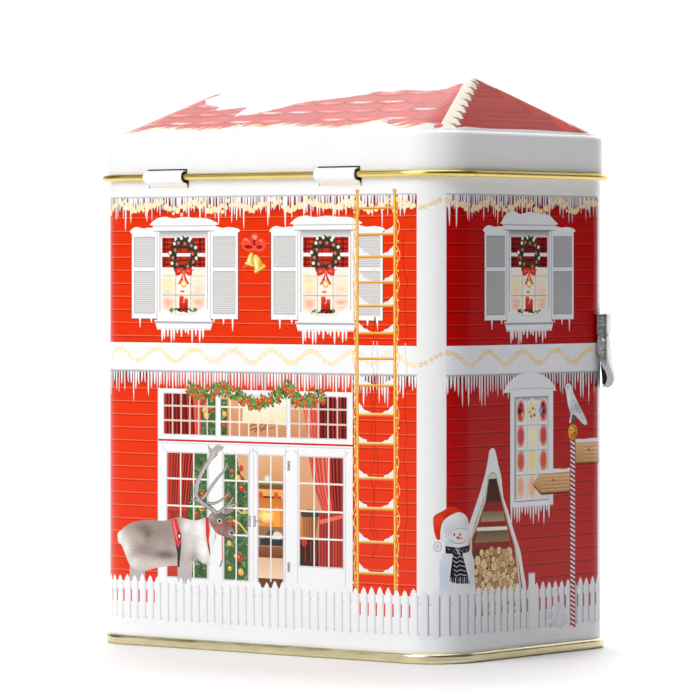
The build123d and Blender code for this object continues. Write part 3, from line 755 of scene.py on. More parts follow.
def reindeer(p):
    """Harnessed reindeer that stands behind the fence."""
    own = random.Random(51)
    coat, dark, pale = (160, 144, 134), (96, 82, 76), (240, 237, 234)
    p.mesh_points(-53, 20, -10, 39, 0.7)
    for leg in (
        [(-48.0, 25), (-48.3, 21), (-48.4, 16), (-45.4, 16), (-45.2, 21), (-43.4, 25)],
        [(-45.5, 24), (-45.2, 17), (-42.8, 17), (-42.4, 24)],
        [(-30.6, 24), (-30.4, 16), (-28.2, 16), (-27.8, 24)],
        [(-28.8, 24), (-28.0, 20), (-27.8, 16), (-25.8, 16), (-25.0, 24)],
    ):
        p.area(leg, fade((176, 174, 176), (196, 186, 180), 17, 24))
    hide = soft(
        fade((198, 188, 182), coat, 22, 34), (-44.0, 33.2, 3.6, 1.6, dark, 0.55),
        (-41.6, 31.6, 1.5, 1.6, (74, 62, 58), 0.55), (-38.0, 32.0, 3.0, 2.4, (138, 120, 112), 0.5),
        (-43.0, 27.2, 4.6, 1.9, (128, 108, 100), 0.6), (-35.0, 26.0, 4.0, 1.1, (84, 74, 70), 0.75),
        (-47.4, 31.0, 3.0, 3.6, (196, 182, 172), 0.5), (-52.4, 30.4, 2.0, 3.4, (246, 244, 244), 1.0),
        (-50.0, 27.0, 2.0, 3.4, (240, 238, 238), 0.9), (-47.0, 23.2, 3.4, 1.7, (226, 222, 220), 0.9),
        (-39.0, 23.2, 5.6, 1.0, (216, 206, 198), 0.7), (-33.6, 31.6, 1.8, 4.6, (150, 134, 126), 0.6),
        (-27.0, 34.0, 2.6, 3.2, (236, 234, 232), 1.0), (-22.6, 33.6, 3.4, 4.4, pale, 1.1),
        (-21.0, 28.0, 2.8, 4.4, (244, 243, 242), 1.1), (-26.6, 29.0, 2.2, 3.6, (214, 208, 204), 0.9),
        (-24.6, 25.6, 1.6, 1.2, (140, 130, 126), 0.6), (-18.0, 31.5, 1.3, 5.0, (232, 228, 226), 0.8),
    )
    p.blob([
        (-53.1, 31.3), (-51.3, 32.4), (-49.5, 33.7), (-45.7, 35.0), (-41.0, 35.5), (-35.5, 35.5),
        (-31.8, 36.3), (-30.0, 36.7), (-27.2, 36.3), (-23.6, 36.0), (-20.5, 36.9), (-18.4, 36.9),
        (-17.0, 35.0), (-16.4, 32.0), (-17.3, 29.6), (-18.6, 26.4), (-19.4, 24.3), (-21.4, 24.2),
        (-23.4, 25.3), (-25.1, 23.8), (-27.5, 22.6), (-30.4, 23.0), (-34.0, 22.8), (-38.5, 22.1),
        (-42.2, 21.2), (-46.0, 21.4), (-48.4, 22.8), (-49.9, 25.5), (-51.4, 28.1), (-52.9, 28.9),
    ], hide, 3)
    for _ in range(420):
        u, z = own.uniform(-51, -18.5), own.uniform(23.6, 35.2)
        if -33.4 < u < -28.8 or z > 34.6 - 0.3 * max(0, -45 - u) * 2 or z < 23.4 + 1.2 * max(0, -47 - u):
            continue
        shade = tint(hide(u, z), own.uniform(0.88, 1.1))
        p.area([(u, z), (u + 0.9, z - 0.4), (u + 0.95, z - 0.26), (u + 0.1, z + 0.12)], shade)
    # straps
    p.area([
        (-31.4, 29.5), (-29.1, 29.5), (-29.4, 26.8), (-29.9, 22.6), (-30.6, 22.8), (-30.6, 26.5),
    ], (58, 52, 54))
    p.area([
        (-32.9, 35.7), (-30.9, 36.4), (-29.1, 31.7), (-29.1, 29.8), (-30.3, 28.0), (-31.5, 29.8),
    ], (216, 58, 62))
    p.area([(-32.5, 35.5), (-31.9, 35.8), (-30.2, 30.8), (-30.9, 30.0)], (240, 116, 112))
    p.disc(-29.9, 31.4, 0.8, 1.1, (60, 34, 36), 10)
    p.disc(-29.9, 31.4, 0.4, 0.6, (232, 222, 204), 8)
    p.area([
        (-20.3, 36.9), (-19.3, 37.0), (-18.8, 33.6), (-19.1, 30.6), (-18.5, 26.9), (-19.7, 29.6),
        (-20.2, 32.2),
    ], (212, 52, 50))
    p.line([(-19.4, 29.4), (-18.6, 26.6)], 0.45, (70, 58, 58))
    p.area([(-18.2, 34.6), (-16.6, 33.2), (-17.6, 29.0), (-18.6, 26.6), (-18.9, 30.6)], (238, 236, 236))
    # head
    face = soft(
        (128, 114, 108), (-18.4, 37.2, 1.8, 1.4, (176, 164, 156), 0.8),
        (-14.0, 37.6, 2.0, 0.9, (98, 84, 80), 0.8), (-15.4, 34.0, 1.6, 1.0, (166, 152, 146), 0.7),
        (-11.0, 32.8, 1.3, 1.0, (196, 190, 188), 0.8), (-12.6, 35.4, 1.2, 1.0, (90, 78, 76), 0.7),
    )
    p.blob([
        (-19.3, 36.6), (-18.6, 38.0), (-16.8, 38.9), (-14.4, 38.7), (-12.9, 37.4), (-12.0, 35.6),
        (-10.4, 34.1), (-9.9, 32.9), (-10.7, 31.8), (-12.7, 31.7), (-14.4, 32.2), (-16.0, 32.6),
        (-17.6, 34.0),
    ], face, 3)
    p.blob([(-13.8, 38.7), (-12.4, 39.6), (-10.2, 39.8), (-10.6, 38.9), (-12.6, 38.0)], (150, 134, 124), 3)
    p.disc(-10.8, 33.0, 0.5, 0.4, (52, 46, 46), 8)
    p.disc(-15.2, 36.1, 0.85, 0.75, (214, 206, 200), 10)
    p.disc(-15.2, 36.1, 0.5, 0.5, (36, 30, 30), 8)
    p.line([(-17.6, 35.0), (-15.4, 34.4), (-13.0, 35.8)], 0.36, (206, 54, 48))
    p.line([(-15.4, 34.4), (-15.6, 32.6), (-13.2, 31.9)], 0.36, (206, 54, 48))
    p.line([(-13.0, 35.8), (-12.4, 32.2)], 0.3, (190, 50, 44))
    p.line([(-17.0, 33.4), (-15.6, 32.6)], 0.36, (222, 76, 66))
    p.line([(-14.3, 31.8), (-14.2, 25.2)], 0.32, (206, 92, 82))
    p.line([(-14.3, 25.2), (-15.0, 23.4)], 0.55, (140, 136, 140))
    # antlers
    horn, rim = (176, 171, 164), (112, 104, 98)
    for paint, extra in ((rim, 0.4), (horn, 0.0)):
        p.curve([
            (-16.4, 38.2), (-18.8, 39.8), (-22.0, 41.2), (-23.9, 43.6), (-23.4, 46.4), (-21.4, 49.8),
            (-18.8, 53.0), (-16.4, 55.0),
        ], 1.05 + extra, paint, 0.95)
        p.curve([
            (-22.0, 41.8), (-20.2, 43.2), (-18.2, 45.6), (-15.9, 48.0), (-13.0, 50.6),
        ], 0.8 + extra, paint, 0.6)
        p.curve([(-15.8, 38.3), (-13.4, 39.8), (-10.8, 40.6), (-8.6, 41.2)], 0.6 + extra, paint, 0.5)
        p.curve([(-12.4, 40.2), (-11.2, 41.6), (-10.3, 42.9)], 0.45 + extra, paint, 0.5)
        p.curve([(-20.4, 40.4), (-23.0, 41.4), (-25.6, 42.0)], 0.5 + extra, paint, 0.5)
        p.curve([(-20.0, 41.0), (-17.0, 41.0), (-13.5, 42.6), (-11.6, 44.2)], 0.5 + extra, paint, 0.5)
        p.curve([(-13.6, 50.0), (-12.9, 51.2), (-12.7, 52.2)], 0.45 + extra, paint, 0.5)
        p.blob([
            (-19.4 - extra / 3, 57.2), (-18.0, 56.0), (-17.2, 56.7), (-15.7, 57.3),
            (-13.8 + extra / 3, 56.6), (-15.9, 55.0), (-18.2, 52.6), (-19.8, 52.2), (-18.8, 54.6),
        ], paint, 3)
    p.curve(
        [(-23.2, 43.8), (-22.8, 46.4), (-20.9, 50.0), (-18.4, 53.2), (-17.0, 55.4)], 0.28, (216, 212, 208),
    )
    p.curve([(-17.8, 39.6), (-20.6, 41.2), (-22.6, 42.6)], 0.24, (70, 62, 58))


def ladder(p):
    """Rope-light ladder hung on the wall, with snow on its rungs."""
    own = random.Random(91)
    left, right = 33.5, 46.3
    rungs = (122.8, 115.7, 109.6, 102.7, 96.3, 88.9, 82.0, 74.7, 66.8, 58.9, 49.5, 41.3, 32.2, 23.8)
    for u, start, swings in ((38.6, 112, (0.0, 1.2)), (49.8, 116, (0.0,))):
        for swing in swings:
            path = spline([
                (u + own.uniform(-0.9, 0.9) + swing, start - 4.4 * i)
                for i in range(int((start - 22) / 4.4))
            ], False, 4)
            for a, b in zip(path, path[1:]):
                on_white = BAND_LOW < b[1] < BAND_TOP or (a[0] < 42.3 and SHUTTER_LOW < b[1] < SHUTTER_TOP)
                p.line([a, b], 0.28, (222, 210, 208) if on_white else (186, 42, 20))
    for z in rungs[1:]:
        for side, u in ((1, left + 0.4), (-1, right - 0.4)):
            k = own.uniform(0.8, 1.25)
            p.area([
                (u, z + 2.7 * k), (u + side * 0.7, z + 2.1 * k), (u + side * 1.1, z + 1.9 * k),
                (u + side * 1.9, z + 1.2), (u + side * 2.8, z + 1.1), (u + side * 3.6 * k, z + 0.5),
                (u + side * 5.2, z + 0.1), (u, z - 0.1),
            ], SNOW)
        if z < 70:
            p.box(left + 3, z + 0.1, right - 3, z + 0.45, SNOW)
    for z in rungs:
        p.line([(left, z - 0.1), (right, z)], 0.68, (212, 138, 44))
        p.line([(left, z + 0.08), (right, z + 0.18)], 0.36, (246, 192, 88))
    for side, u in ((-1, left), (1, right)):
        for reach, shift, paint in ((1.45, 0.0, (244, 196, 110)), (0.9, 2.2, (232, 168, 76))):
            string = [(u + side * (
                0.25 + reach * abs(math.sin(math.pi * (z + shift) / 7.1)) * (0.8 + 0.25 * math.sin(z * 0.7))
            ), z) for z in [20 + 0.7 * i for i in range(152)]]
            p.line(string, 0.24, paint)
        for i in range(40):
            z = 21 + 2.65 * i
            p.disc(u + side * own.uniform(0.4, 1.4), z, 0.3, 0.3, (250, 222, 150), 6)
        p.line([(u + 0.15, 18.4), (u, 74), (u, 127.3)], 0.92, (212, 138, 44))
        p.line([(u + 0.05, 18.6), (u - 0.12, 74), (u - 0.12, 127.0)], 0.4, (250, 202, 100))
        p.disc(u, 127.4, 0.75, 0.6, (232, 170, 70), 8)


def frost(p):
    """Faint frosty tendril down the corner post."""
    own = random.Random(95)
    u, z = 54.9, 62.0
    path = []
    while z > 21:
        path.append((u + own.uniform(-0.9, 1.3), z))
        z -= own.uniform(0.7, 1.5)
    for a, b in zip(path, path[1:]):
        p.line([a, b], 0.25, own.choice(((222, 222, 226), (208, 208, 213), (232, 232, 235))))
    for u, z in path[::3]:
        p.disc(u, z, 0.55, 0.55, (224, 224, 228), 8)
        p.disc(u, z, 0.3, 0.3, WHITE, 8)


def bells(p):
    """Pair of gold bells under a red bow."""
    red, deep, glow = (242, 84, 56), (160, 26, 14), (250, 150, 124)
    size = 0.8

    def shrink(points):
        return [(-2.8 + size * (a + 2.8), 112.0 + size * (b - 111.5)) for a, b in points]

    for pts, paint in (
        ([(-3.4, 109.4), (-6.2, 106.9), (-8.0, 104.6), (-6.0, 105.0), (-4.6, 106.6)], red),
        ([(-2.8, 111.2), (-5.2, 114.6), (-8.0, 114.9), (-8.2, 112.0), (-5.6, 110.4)], red),
        ([(-2.6, 111.4), (-0.6, 114.6), (1.9, 114.2), (2.2, 111.4), (-0.4, 110.2)], red),
        ([(-3.2, 111.6), (-4.8, 115.6), (-2.4, 116.8), (-0.6, 115.4), (-1.8, 112.0)], (232, 70, 56)),
        ([(-3.2, 111.8), (-5.3, 112.7), (-7.2, 112.2), (-5.6, 111.3)], deep),
        ([(-2.0, 111.8), (-0.4, 112.6), (1.1, 112.0), (-0.4, 111.2)], deep),
        ([(-3.4, 112.4), (-5.4, 113.9), (-4.2, 113.2)], deep),
        ([(-1.8, 112.4), (-0.2, 113.8), (-1.0, 112.9)], deep),
        ([(-2.9, 112.2), (-3.3, 114.6), (-2.3, 114.4), (-2.2, 112.4)], deep),
        ([(-7.4, 114.4), (-5.6, 114.1), (-4.4, 113.0), (-6.0, 114.8)], glow),
        ([(-0.4, 114.0), (1.4, 113.6), (1.9, 112.4), (0.4, 114.4)], glow),
        ([(-3.6, 115.4), (-2.6, 116.2), (-1.4, 115.4), (-2.4, 114.4)], glow),
    ):
        p.blob(shrink(pts), paint, 3)
    p.disc(-2.6, 112.0, 0.8, 0.75, (236, 92, 76), 10)
    for u, z, k, turn in ((-4.0, 108.9, 0.82, -0.2), (-1.5, 107.9, 1.02, 0.45)):
        c, n = math.cos(turn), math.sin(turn)

        def turned(shape):
            return [(u + k * (a * c - b * n), z + k * (a * n + b * c)) for a, b in shape]

        brass = soft(
            (250, 214, 92), (u + 1.3 * k, z, 0.9, 2.4, (206, 140, 38), 0.9),
            (u - 0.5 * k, z + 0.4, 0.5, 1.8, (255, 246, 190), 0.9),
        )
        body = [
            (-0.6, 2.1), (-0.2, 2.4), (0.2, 2.4), (0.6, 2.1), (1.2, 0.8), (1.5, -0.8), (2.2, -1.8),
            (-2.2, -1.8), (-1.5, -0.8), (-1.2, 0.8),
        ]
        p.area(turned([(a * 1.08, b * 1.05) for a, b in body]), (176, 110, 28))
        p.area(turned(body), brass)
        p.area(turned([(-2.2, -1.8), (2.2, -1.8), (1.9, -2.4), (-1.9, -2.4)]), (196, 134, 40))
        p.area(turned([(-2.1, -1.7), (2.1, -1.7), (2.0, -1.95), (-2.0, -1.95)]), (252, 232, 150))
        p.area(turned([(-0.8, 1.5), (-0.3, 1.7), (-0.5, -1.2), (-1.1, -1.3)]), (255, 247, 200))
    p.mesh_points(-6.5, 105.0, 2.0, 111, 0.6)


def gable_window(p, tone, c=0.0):
    """Snow-capped window of the ground floor on the end wall."""
    white, shade, line = tone["white"], tone["shade"], tint(tone["louvre"], 0.74)
    p.box(c - 10.5, 41.0, c + 9.8, 73.6, tone["gap"])
    p.box(c - 10.4, 41.1, c + 9.7, 73.6, white)
    p.box(c - 8.5, 42.6, c + 7.6, 71.3, shade)
    p.box(c - 8.5, 42.6, c - 7.5, 71.3, fade_u(line, shade, c - 8.6, c - 7.4))
    p.box(c - 8.3, 70.3, c + 7.5, 71.2, fade(shade, line, 70.2, 71.3))
    rows = ((64.3, 70.1), (57.4, 63.4), (50.7, 56.5), (43.2, 49.8))
    cells = ((-7.4, -3.0), (-2.3, 1.9), (2.6, 6.8))
    side = ((186, 42, 40), (200, 66, 60), (212, 84, 58), (246, 176, 138))
    middle = ((238, 226, 176), (243, 238, 196), (246, 224, 154), (247, 188, 152))
    base = (240, 234, 226)
    for (z0, z1), red, cream in zip(rows, side, middle):
        z = (z0 + z1) / 2
        for i, (u0, u1) in enumerate(cells):
            u = (u0 + u1) / 2 + (-0.3, 0, 0.4)[i]
            core = cream if i == 1 else red
            p.box(c + u0, z0, c + u1, z1, base)
            for k in range(7):
                grow = 1.3 - 0.11 * k
                t = min(0.95, 0.1 + 0.15 * k)
                p.disc(
                    c + u, z, 1.6 * grow, 2.85 * grow, tuple(a + (b - a) * t for a, b in zip(base, core)),
                    14,
                )
    for u, z, r, paint in (
        (-6.0, 67.4, 0.9, (92, 14, 16)), (-4.6, 66.2, 0.75, (240, 168, 60)),
        (-5.8, 65.5, 0.6, (206, 60, 30)), (-5.4, 69.0, 0.6, (150, 20, 20)),
        (-1.4, 67.0, 0.5, (214, 150, 60)), (-0.6, 65.8, 0.45, (190, 80, 40)),
        (0.9, 66.1, 0.55, (70, 130, 70)), (0.2, 67.9, 0.45, (210, 60, 40)),
        (1.3, 67.6, 0.4, (236, 190, 80)), (3.8, 67.4, 0.85, (120, 170, 220)),
        (5.2, 67.1, 0.6, (34, 34, 56)), (4.9, 69.0, 0.7, (140, 16, 22)), (6.0, 65.6, 0.55, (226, 130, 150)),
    ):
        p.disc(c + u, z, r, r, paint, 10)
    for z in (63.85, 56.95, 50.25):
        p.box(c - 7.5, z - 0.45, c + 6.9, z + 0.45, white)
        p.box(c - 7.5, z - 0.55, c + 6.9, z - 0.4, line)
    for u in (-2.65, 2.25):
        p.box(c + u - 0.3, 43.2, c + u + 0.3, 70.2, white)
        p.box(c + u + 0.2, 43.2, c + u + 0.35, 70.2, tint(shade, 0.93))
    p.box(c - 8.4, 42.3, c + 7.6, 43.2, white)
    p.box(c - 8.5, 42.5, c + 7.6, 42.75, line)
    p.box(c - 10.4, 40.9, c + 9.7, 41.15, line)
    p.blob([
        (c - 13.2, 73.0), (c - 12.0, 74.6), (c - 8.6, 76.6), (c - 4.0, 77.7), (c + 2.0, 77.7),
        (c + 6.6, 76.3), (c + 9.6, 74.6), (c + 10.9, 73.0), (c + 10.2, 72.6), (c, 73.0), (c - 12.6, 72.5),
    ], white, 4)
    p.curve([(c - 11, 73.2), (c - 4, 73.5), (c + 4, 73.4), (c + 10, 73.1)], 0.22, tint(shade, 0.95))
    own = random.Random(61)
    for i in range(15):
        u = -9.8 + i * 1.26 + own.uniform(-0.15, 0.15)
        run = own.choice((1.6, 2.4, 3.4, 4.4, 5.4)) * own.uniform(0.85, 1.1)
        p.area([
            (c + u - 0.42, 41.2), (c + u - 0.3, 41 - run * 0.6), (c + u - 0.08, 41.0 - run),
            (c + u + 0.08, 41.0 - run), (c + u + 0.3, 41 - run * 0.6), (c + u + 0.42, 41.2),
        ], white)


def log_pile(p, outline, z0, z1, seed):
    """Log ends stacked close together. outline gives the pile's left and right edges at a height."""
    own = random.Random(seed)
    ends = []
    row, z = 0, z0
    while z < z1 - 0.4:
        left, right = outline(z)
        u = left + 0.5 + 0.9 * (row % 2)
        while u < right - 0.3:
            ends.append((u + own.uniform(-0.35, 0.35), z + own.uniform(-0.5, 0.5), own.uniform(0.95, 1.7)))
            u += own.uniform(1.7, 2.5)
        z += 1.72
        row += 1
    own.shuffle(ends)
    for u, z, r in sorted(ends, key=lambda e: e[2] < 1.2):
        wood = own.choice(WOOD + (WOOD[0], WOOD[2], WOOD[2], (164, 128, 96)))
        p.disc(u, z, r * 1.05, r * 1.05, (74, 48, 30), 14)
        p.disc(u, z, r * 0.94, r * 0.94, tint(wood, 0.98), 14)
        for ring, light in ((0.84, 1.1), (0.62, 1.0), (0.5, 1.12), (0.26, 0.94), (0.15, 1.1)):
            p.disc(u + 0.06, z, r * ring, r * ring, tint(wood, light), 10)
        a = own.uniform(0, 6)
        p.line([(u, z), (u + r * 0.8 * math.cos(a), z + r * 0.8 * math.sin(a))], 0.13, tint(wood, 0.7))


def log_rack(p, tone):
    """Tall A-shaped rack with a pile of logs, snow on its legs."""
    white, cream = tone["white"], (226, 220, 192)
    p.area([(-20.4, 49.2), (-16.4, 49.2), (-4.4, 10.0), (-29.0, 10.0), (-28.4, 31.0)], (150, 10, 10))
    p.area([(-20.5, 49.2), (-16.4, 49.2), (-14.2, 43.0), (-22.6, 43.0)], (70, 10, 12))
    p.area([(-20.7, 49.4), (-16.1, 49.4), (-15.8, 47.7), (-21.2, 47.7)], (38, 32, 28))
    p.area(
        [(-22.9, 40.6), (-13.5, 40.3), (-12.9, 37.6), (-24.0, 37.8)],
        fade((186, 168, 136), (128, 108, 80), 37, 40.6),
    )
    p.area([
        (-25.4, 35.5), (-11.5, 35.1), (-10.7, 32.0), (-26.8, 32.2),
    ], fade((150, 122, 82), (112, 88, 56), 32, 35.4))
    p.area([(-26.6, 30.6), (-9.8, 30.4), (-5.6, 10.0), (-28.6, 10.0)], (72, 44, 26))
    p.area([(-25.6, 36.4), (-11.9, 36.1), (-11.7, 35.1), (-25.8, 35.4)], (240, 236, 224))

    def pile(z):
        t = max(0.0, (z - 19) / 12)
        return -27.6 + 1.0 * t + 2.4 * t * t, -5.4 - 4.6 * t - 1.6 * t * t

    log_pile(p, pile, 10.4, 30.8, 71)
    for inner, outer in (
        (
            [(-20.2, 49.4), (-21.6, 43.4), (-25.0, 37.4), (-27.8, 33.4), (-28.2, 12)],
            [(-21.0, 50.0), (-22.7, 43.8), (-26.1, 37.6), (-28.8, 33.6), (-29.1, 12)],
        ),
        (
            [(-16.8, 49.4), (-14.6, 43.6), (-12.0, 37.6), (-8.6, 30.6), (-5.0, 12)],
            [(-16.0, 50.0), (-13.8, 43.8), (-11.0, 37.8), (-7.6, 30.8), (-4.0, 12)],
        ),
    ):
        p.area(inner + outer[::-1], cream)
        p.line(inner, 0.32, (112, 100, 66))
        p.line([((a + c) / 2, (b + d) / 2) for (a, b), (c, d) in zip(inner, outer)], 0.16, (190, 182, 150))
    p.blob([
        (-18.7, 57.6), (-17.6, 57.2), (-16.8, 55.6), (-15.9, 53.0), (-14.6, 49.8), (-14.3, 47.6),
        (-16.0, 49.6), (-17.2, 50.8), (-19.6, 50.8), (-21.2, 49.2), (-22.6, 47.4), (-23.9, 46.6),
        (-22.0, 50.4), (-20.6, 54.6), (-20.0, 56.8),
    ], white)
    p.area([(-20.6, 50.7), (-16.9, 50.9), (-16.1, 49.3), (-21.1, 49.3)], (204, 212, 190))
    for side in (
        [
            (-22.4, 49.0), (-24.4, 45.6), (-26.9, 41.2), (-29.2, 37.2), (-29.7, 34.6), (-28.7, 33.8),
            (-26.3, 38.0), (-22.8, 44.0), (-20.9, 49.4),
        ],
        [
            (-14.9, 49.0), (-14.0, 46.4), (-13.5, 44.0), (-11.4, 40.2), (-8.2, 33.6), (-5.7, 29.0),
            (-4.4, 24.0), (-3.0, 19.0), (-4.6, 19.0), (-7.0, 28.0), (-10.9, 37.0), (-14.0, 44.4),
            (-16.1, 49.4),
        ],
    ):
        p.blob(side, white, 3)


def snowman(p, tone):
    """Plain snowman with a red cap and a striped scarf."""
    white = tone["white"]
    p.mesh_points(-40, 17, -27, 41, 0.7)
    body = soft(
        white, (-37.6, 24.0, 1.9, 5.0, (196, 216, 238), 0.9), (-36.2, 28.6, 1.2, 1.6, (214, 228, 242), 0.7),
        (-28.0, 24.0, 1.1, 4.0, (214, 214, 224), 0.8), (-37.0, 19.0, 2.2, 2.0, (204, 222, 240), 0.8),
    )
    p.blob([
        (-36.7, 30.2), (-37.8, 29.0), (-38.5, 26.4), (-38.4, 22.6), (-38.0, 12.0), (-27.4, 12.0),
        (-26.8, 23.6), (-27.0, 27.2), (-28.2, 29.8), (-29.4, 30.6),
    ], body)
    head = soft(
        white, (-36.2, 32.4, 1.4, 1.4, (206, 222, 240), 0.9), (-29.4, 33.0, 0.8, 2.0, (216, 216, 226), 0.7),
    )
    p.blob([
        (-29.1, 35.8), (-28.9, 33.8), (-29.6, 31.6), (-33.1, 30.8), (-36.6, 31.8), (-37.0, 33.6),
        (-35.9, 36.4), (-32.5, 37.6),
    ], head)
    p.curve(
        [(-35.7, 33.4), (-34.9, 32.8), (-33.4, 32.4), (-31.6, 32.5), (-30.6, 33.1)], 0.16, (110, 106, 108),
    )
    for u in (-34.3, -32.5):
        p.disc(u, 34.8, 0.28, 0.48, (30, 28, 30), 8)
        p.disc(u + 0.08, 35.0, 0.09, 0.12, white, 6)
    p.area([(-33.6, 34.4), (-31.3, 33.7), (-33.2, 33.5)], (238, 104, 40))
    p.disc(-33.4, 34.0, 0.35, 0.42, (226, 84, 30), 8)
    # cap
    cloth = soft(
        (222, 44, 12), (-38.6, 38.8, 1.4, 1.6, (246, 104, 60), 0.8),
        (-35.4, 41.6, 1.6, 0.7, (240, 92, 54), 0.7), (-37.8, 36.0, 0.9, 2.0, (180, 24, 6), 0.8),
        (-36.0, 40.0, 2.2, 0.7, (186, 26, 8), 0.7),
    )
    p.blob([
        (-40.2, 38.6), (-39.8, 40.0), (-37.6, 41.2), (-35.8, 42.2), (-34.0, 42.2), (-32.3, 40.8),
        (-34.8, 39.6), (-37.0, 38.2), (-38.0, 36.4), (-38.1, 33.8), (-39.2, 33.6), (-39.9, 35.8),
    ], cloth)
    fur = soft(
        (234, 234, 238), (-36.0, 36.0, 1.4, 1.6, (206, 208, 216), 0.7),
        (-30.2, 37.6, 1.0, 1.6, (212, 212, 220), 0.8), (-33.4, 39.4, 2.0, 1.0, (246, 246, 248), 0.8),
    )
    p.blob([
        (-32.6, 40.8), (-30.3, 39.6), (-29.4, 37.9), (-29.0, 35.4), (-31.8, 36.4), (-34.6, 36.0),
        (-36.2, 34.2), (-37.0, 32.6), (-38.2, 33.4), (-38.0, 37.0), (-37.0, 38.9), (-35.0, 40.2),
    ], fur)
    p.curve([(-36.2, 34.4), (-34.6, 36.0), (-32.0, 36.5), (-29.4, 35.7)], 0.18, (170, 168, 174))
    p.disc(-39.0, 31.6, 1.1, 1.4, (128, 124, 126), 16)
    p.disc(-39.0, 31.6, 0.94, 1.24, (238, 238, 242), 16)
    p.disc(-39.0, 31.6, 0.4, 0.7, (160, 158, 160), 10)
    p.disc(-39.0, 31.6, 0.25, 0.52, (238, 238, 242), 8)
    # scarf
    own = random.Random(75)
    p.area([
        (-34.6, 30.2), (-31.9, 30.2), (-30.4, 25.6), (-28.8, 21.4), (-33.6, 21.6), (-35.7, 22.3),
        (-35.2, 26.2),
    ], (20, 20, 24))
    p.area([
        (-36.9, 31.8), (-33.0, 31.2), (-29.2, 31.8), (-29.1, 30.0), (-33.0, 29.4), (-36.8, 29.8),
    ], (34, 34, 38))
    for i in range(5):
        z = 29.0 - i * 1.2
        p.line([
            (-34.7 + 0.1 * i, z), (-33.6, z - 0.6), (-32.6, z - 0.1), (-31.2 + 0.25 * i, z - 0.6),
        ], 0.22, (196, 196, 202))
    for _ in range(16):
        u, z = own.uniform(-36.4, -29.6), own.uniform(30.0, 31.3)
        p.line([(u, z), (u + 0.5, z - 0.4)], 0.14, (150, 150, 156))
    p.line([(-33.8, 31.0), (-32.4, 29.2)], 0.3, (214, 214, 218))
    p.line([(-32.8, 31.0), (-33.4, 29.4)], 0.2, (190, 190, 196))
    for i in range(9):
        u = -35.3 + i * 0.72
        p.line(
            [(u, 23.2), (u + own.uniform(-0.15, 0.2), 21.2)], 0.2,
            (130, 130, 136) if i % 2 else (232, 232, 236),
        )


def sign(p, outline, z0, z1, own, tone):
    """Blank board of light wood."""
    left, right = min(a for a, _ in outline), max(a for a, _ in outline)
    p.area([(a + 0.1, b - 0.5) for a, b in outline], tint(tone["board"], 0.5))
    p.area([(a, b - 0.15) for a, b in outline], (140, 92, 50))
    p.area(
        [((a - left) * 0.985 + left, b + 0.1) for a, b in outline],
        fade((196, 140, 88), (228, 184, 134), z0, z1),
    )
    for i in range(10):
        z = z0 + 0.6 + i * (z1 - z0 - 1.1) / 9
        a, b = left + 4.2, right - 0.5
        wave = [(a + (b - a) * k / 10, z + own.uniform(-0.12, 0.12)) for k in range(11)]
        p.line(wave, own.uniform(0.1, 0.2), (184, 130, 80) if i % 2 else (236, 198, 150))
    p.disc((left + right) / 2 + 0.5, (z0 + z1) / 2 + 0.5, 0.75, 0.36, (170, 114, 66), 10)
    p.disc((left + right) / 2 + 0.5, (z0 + z1) / 2 + 0.5, 0.36, 0.16, (128, 80, 44), 8)


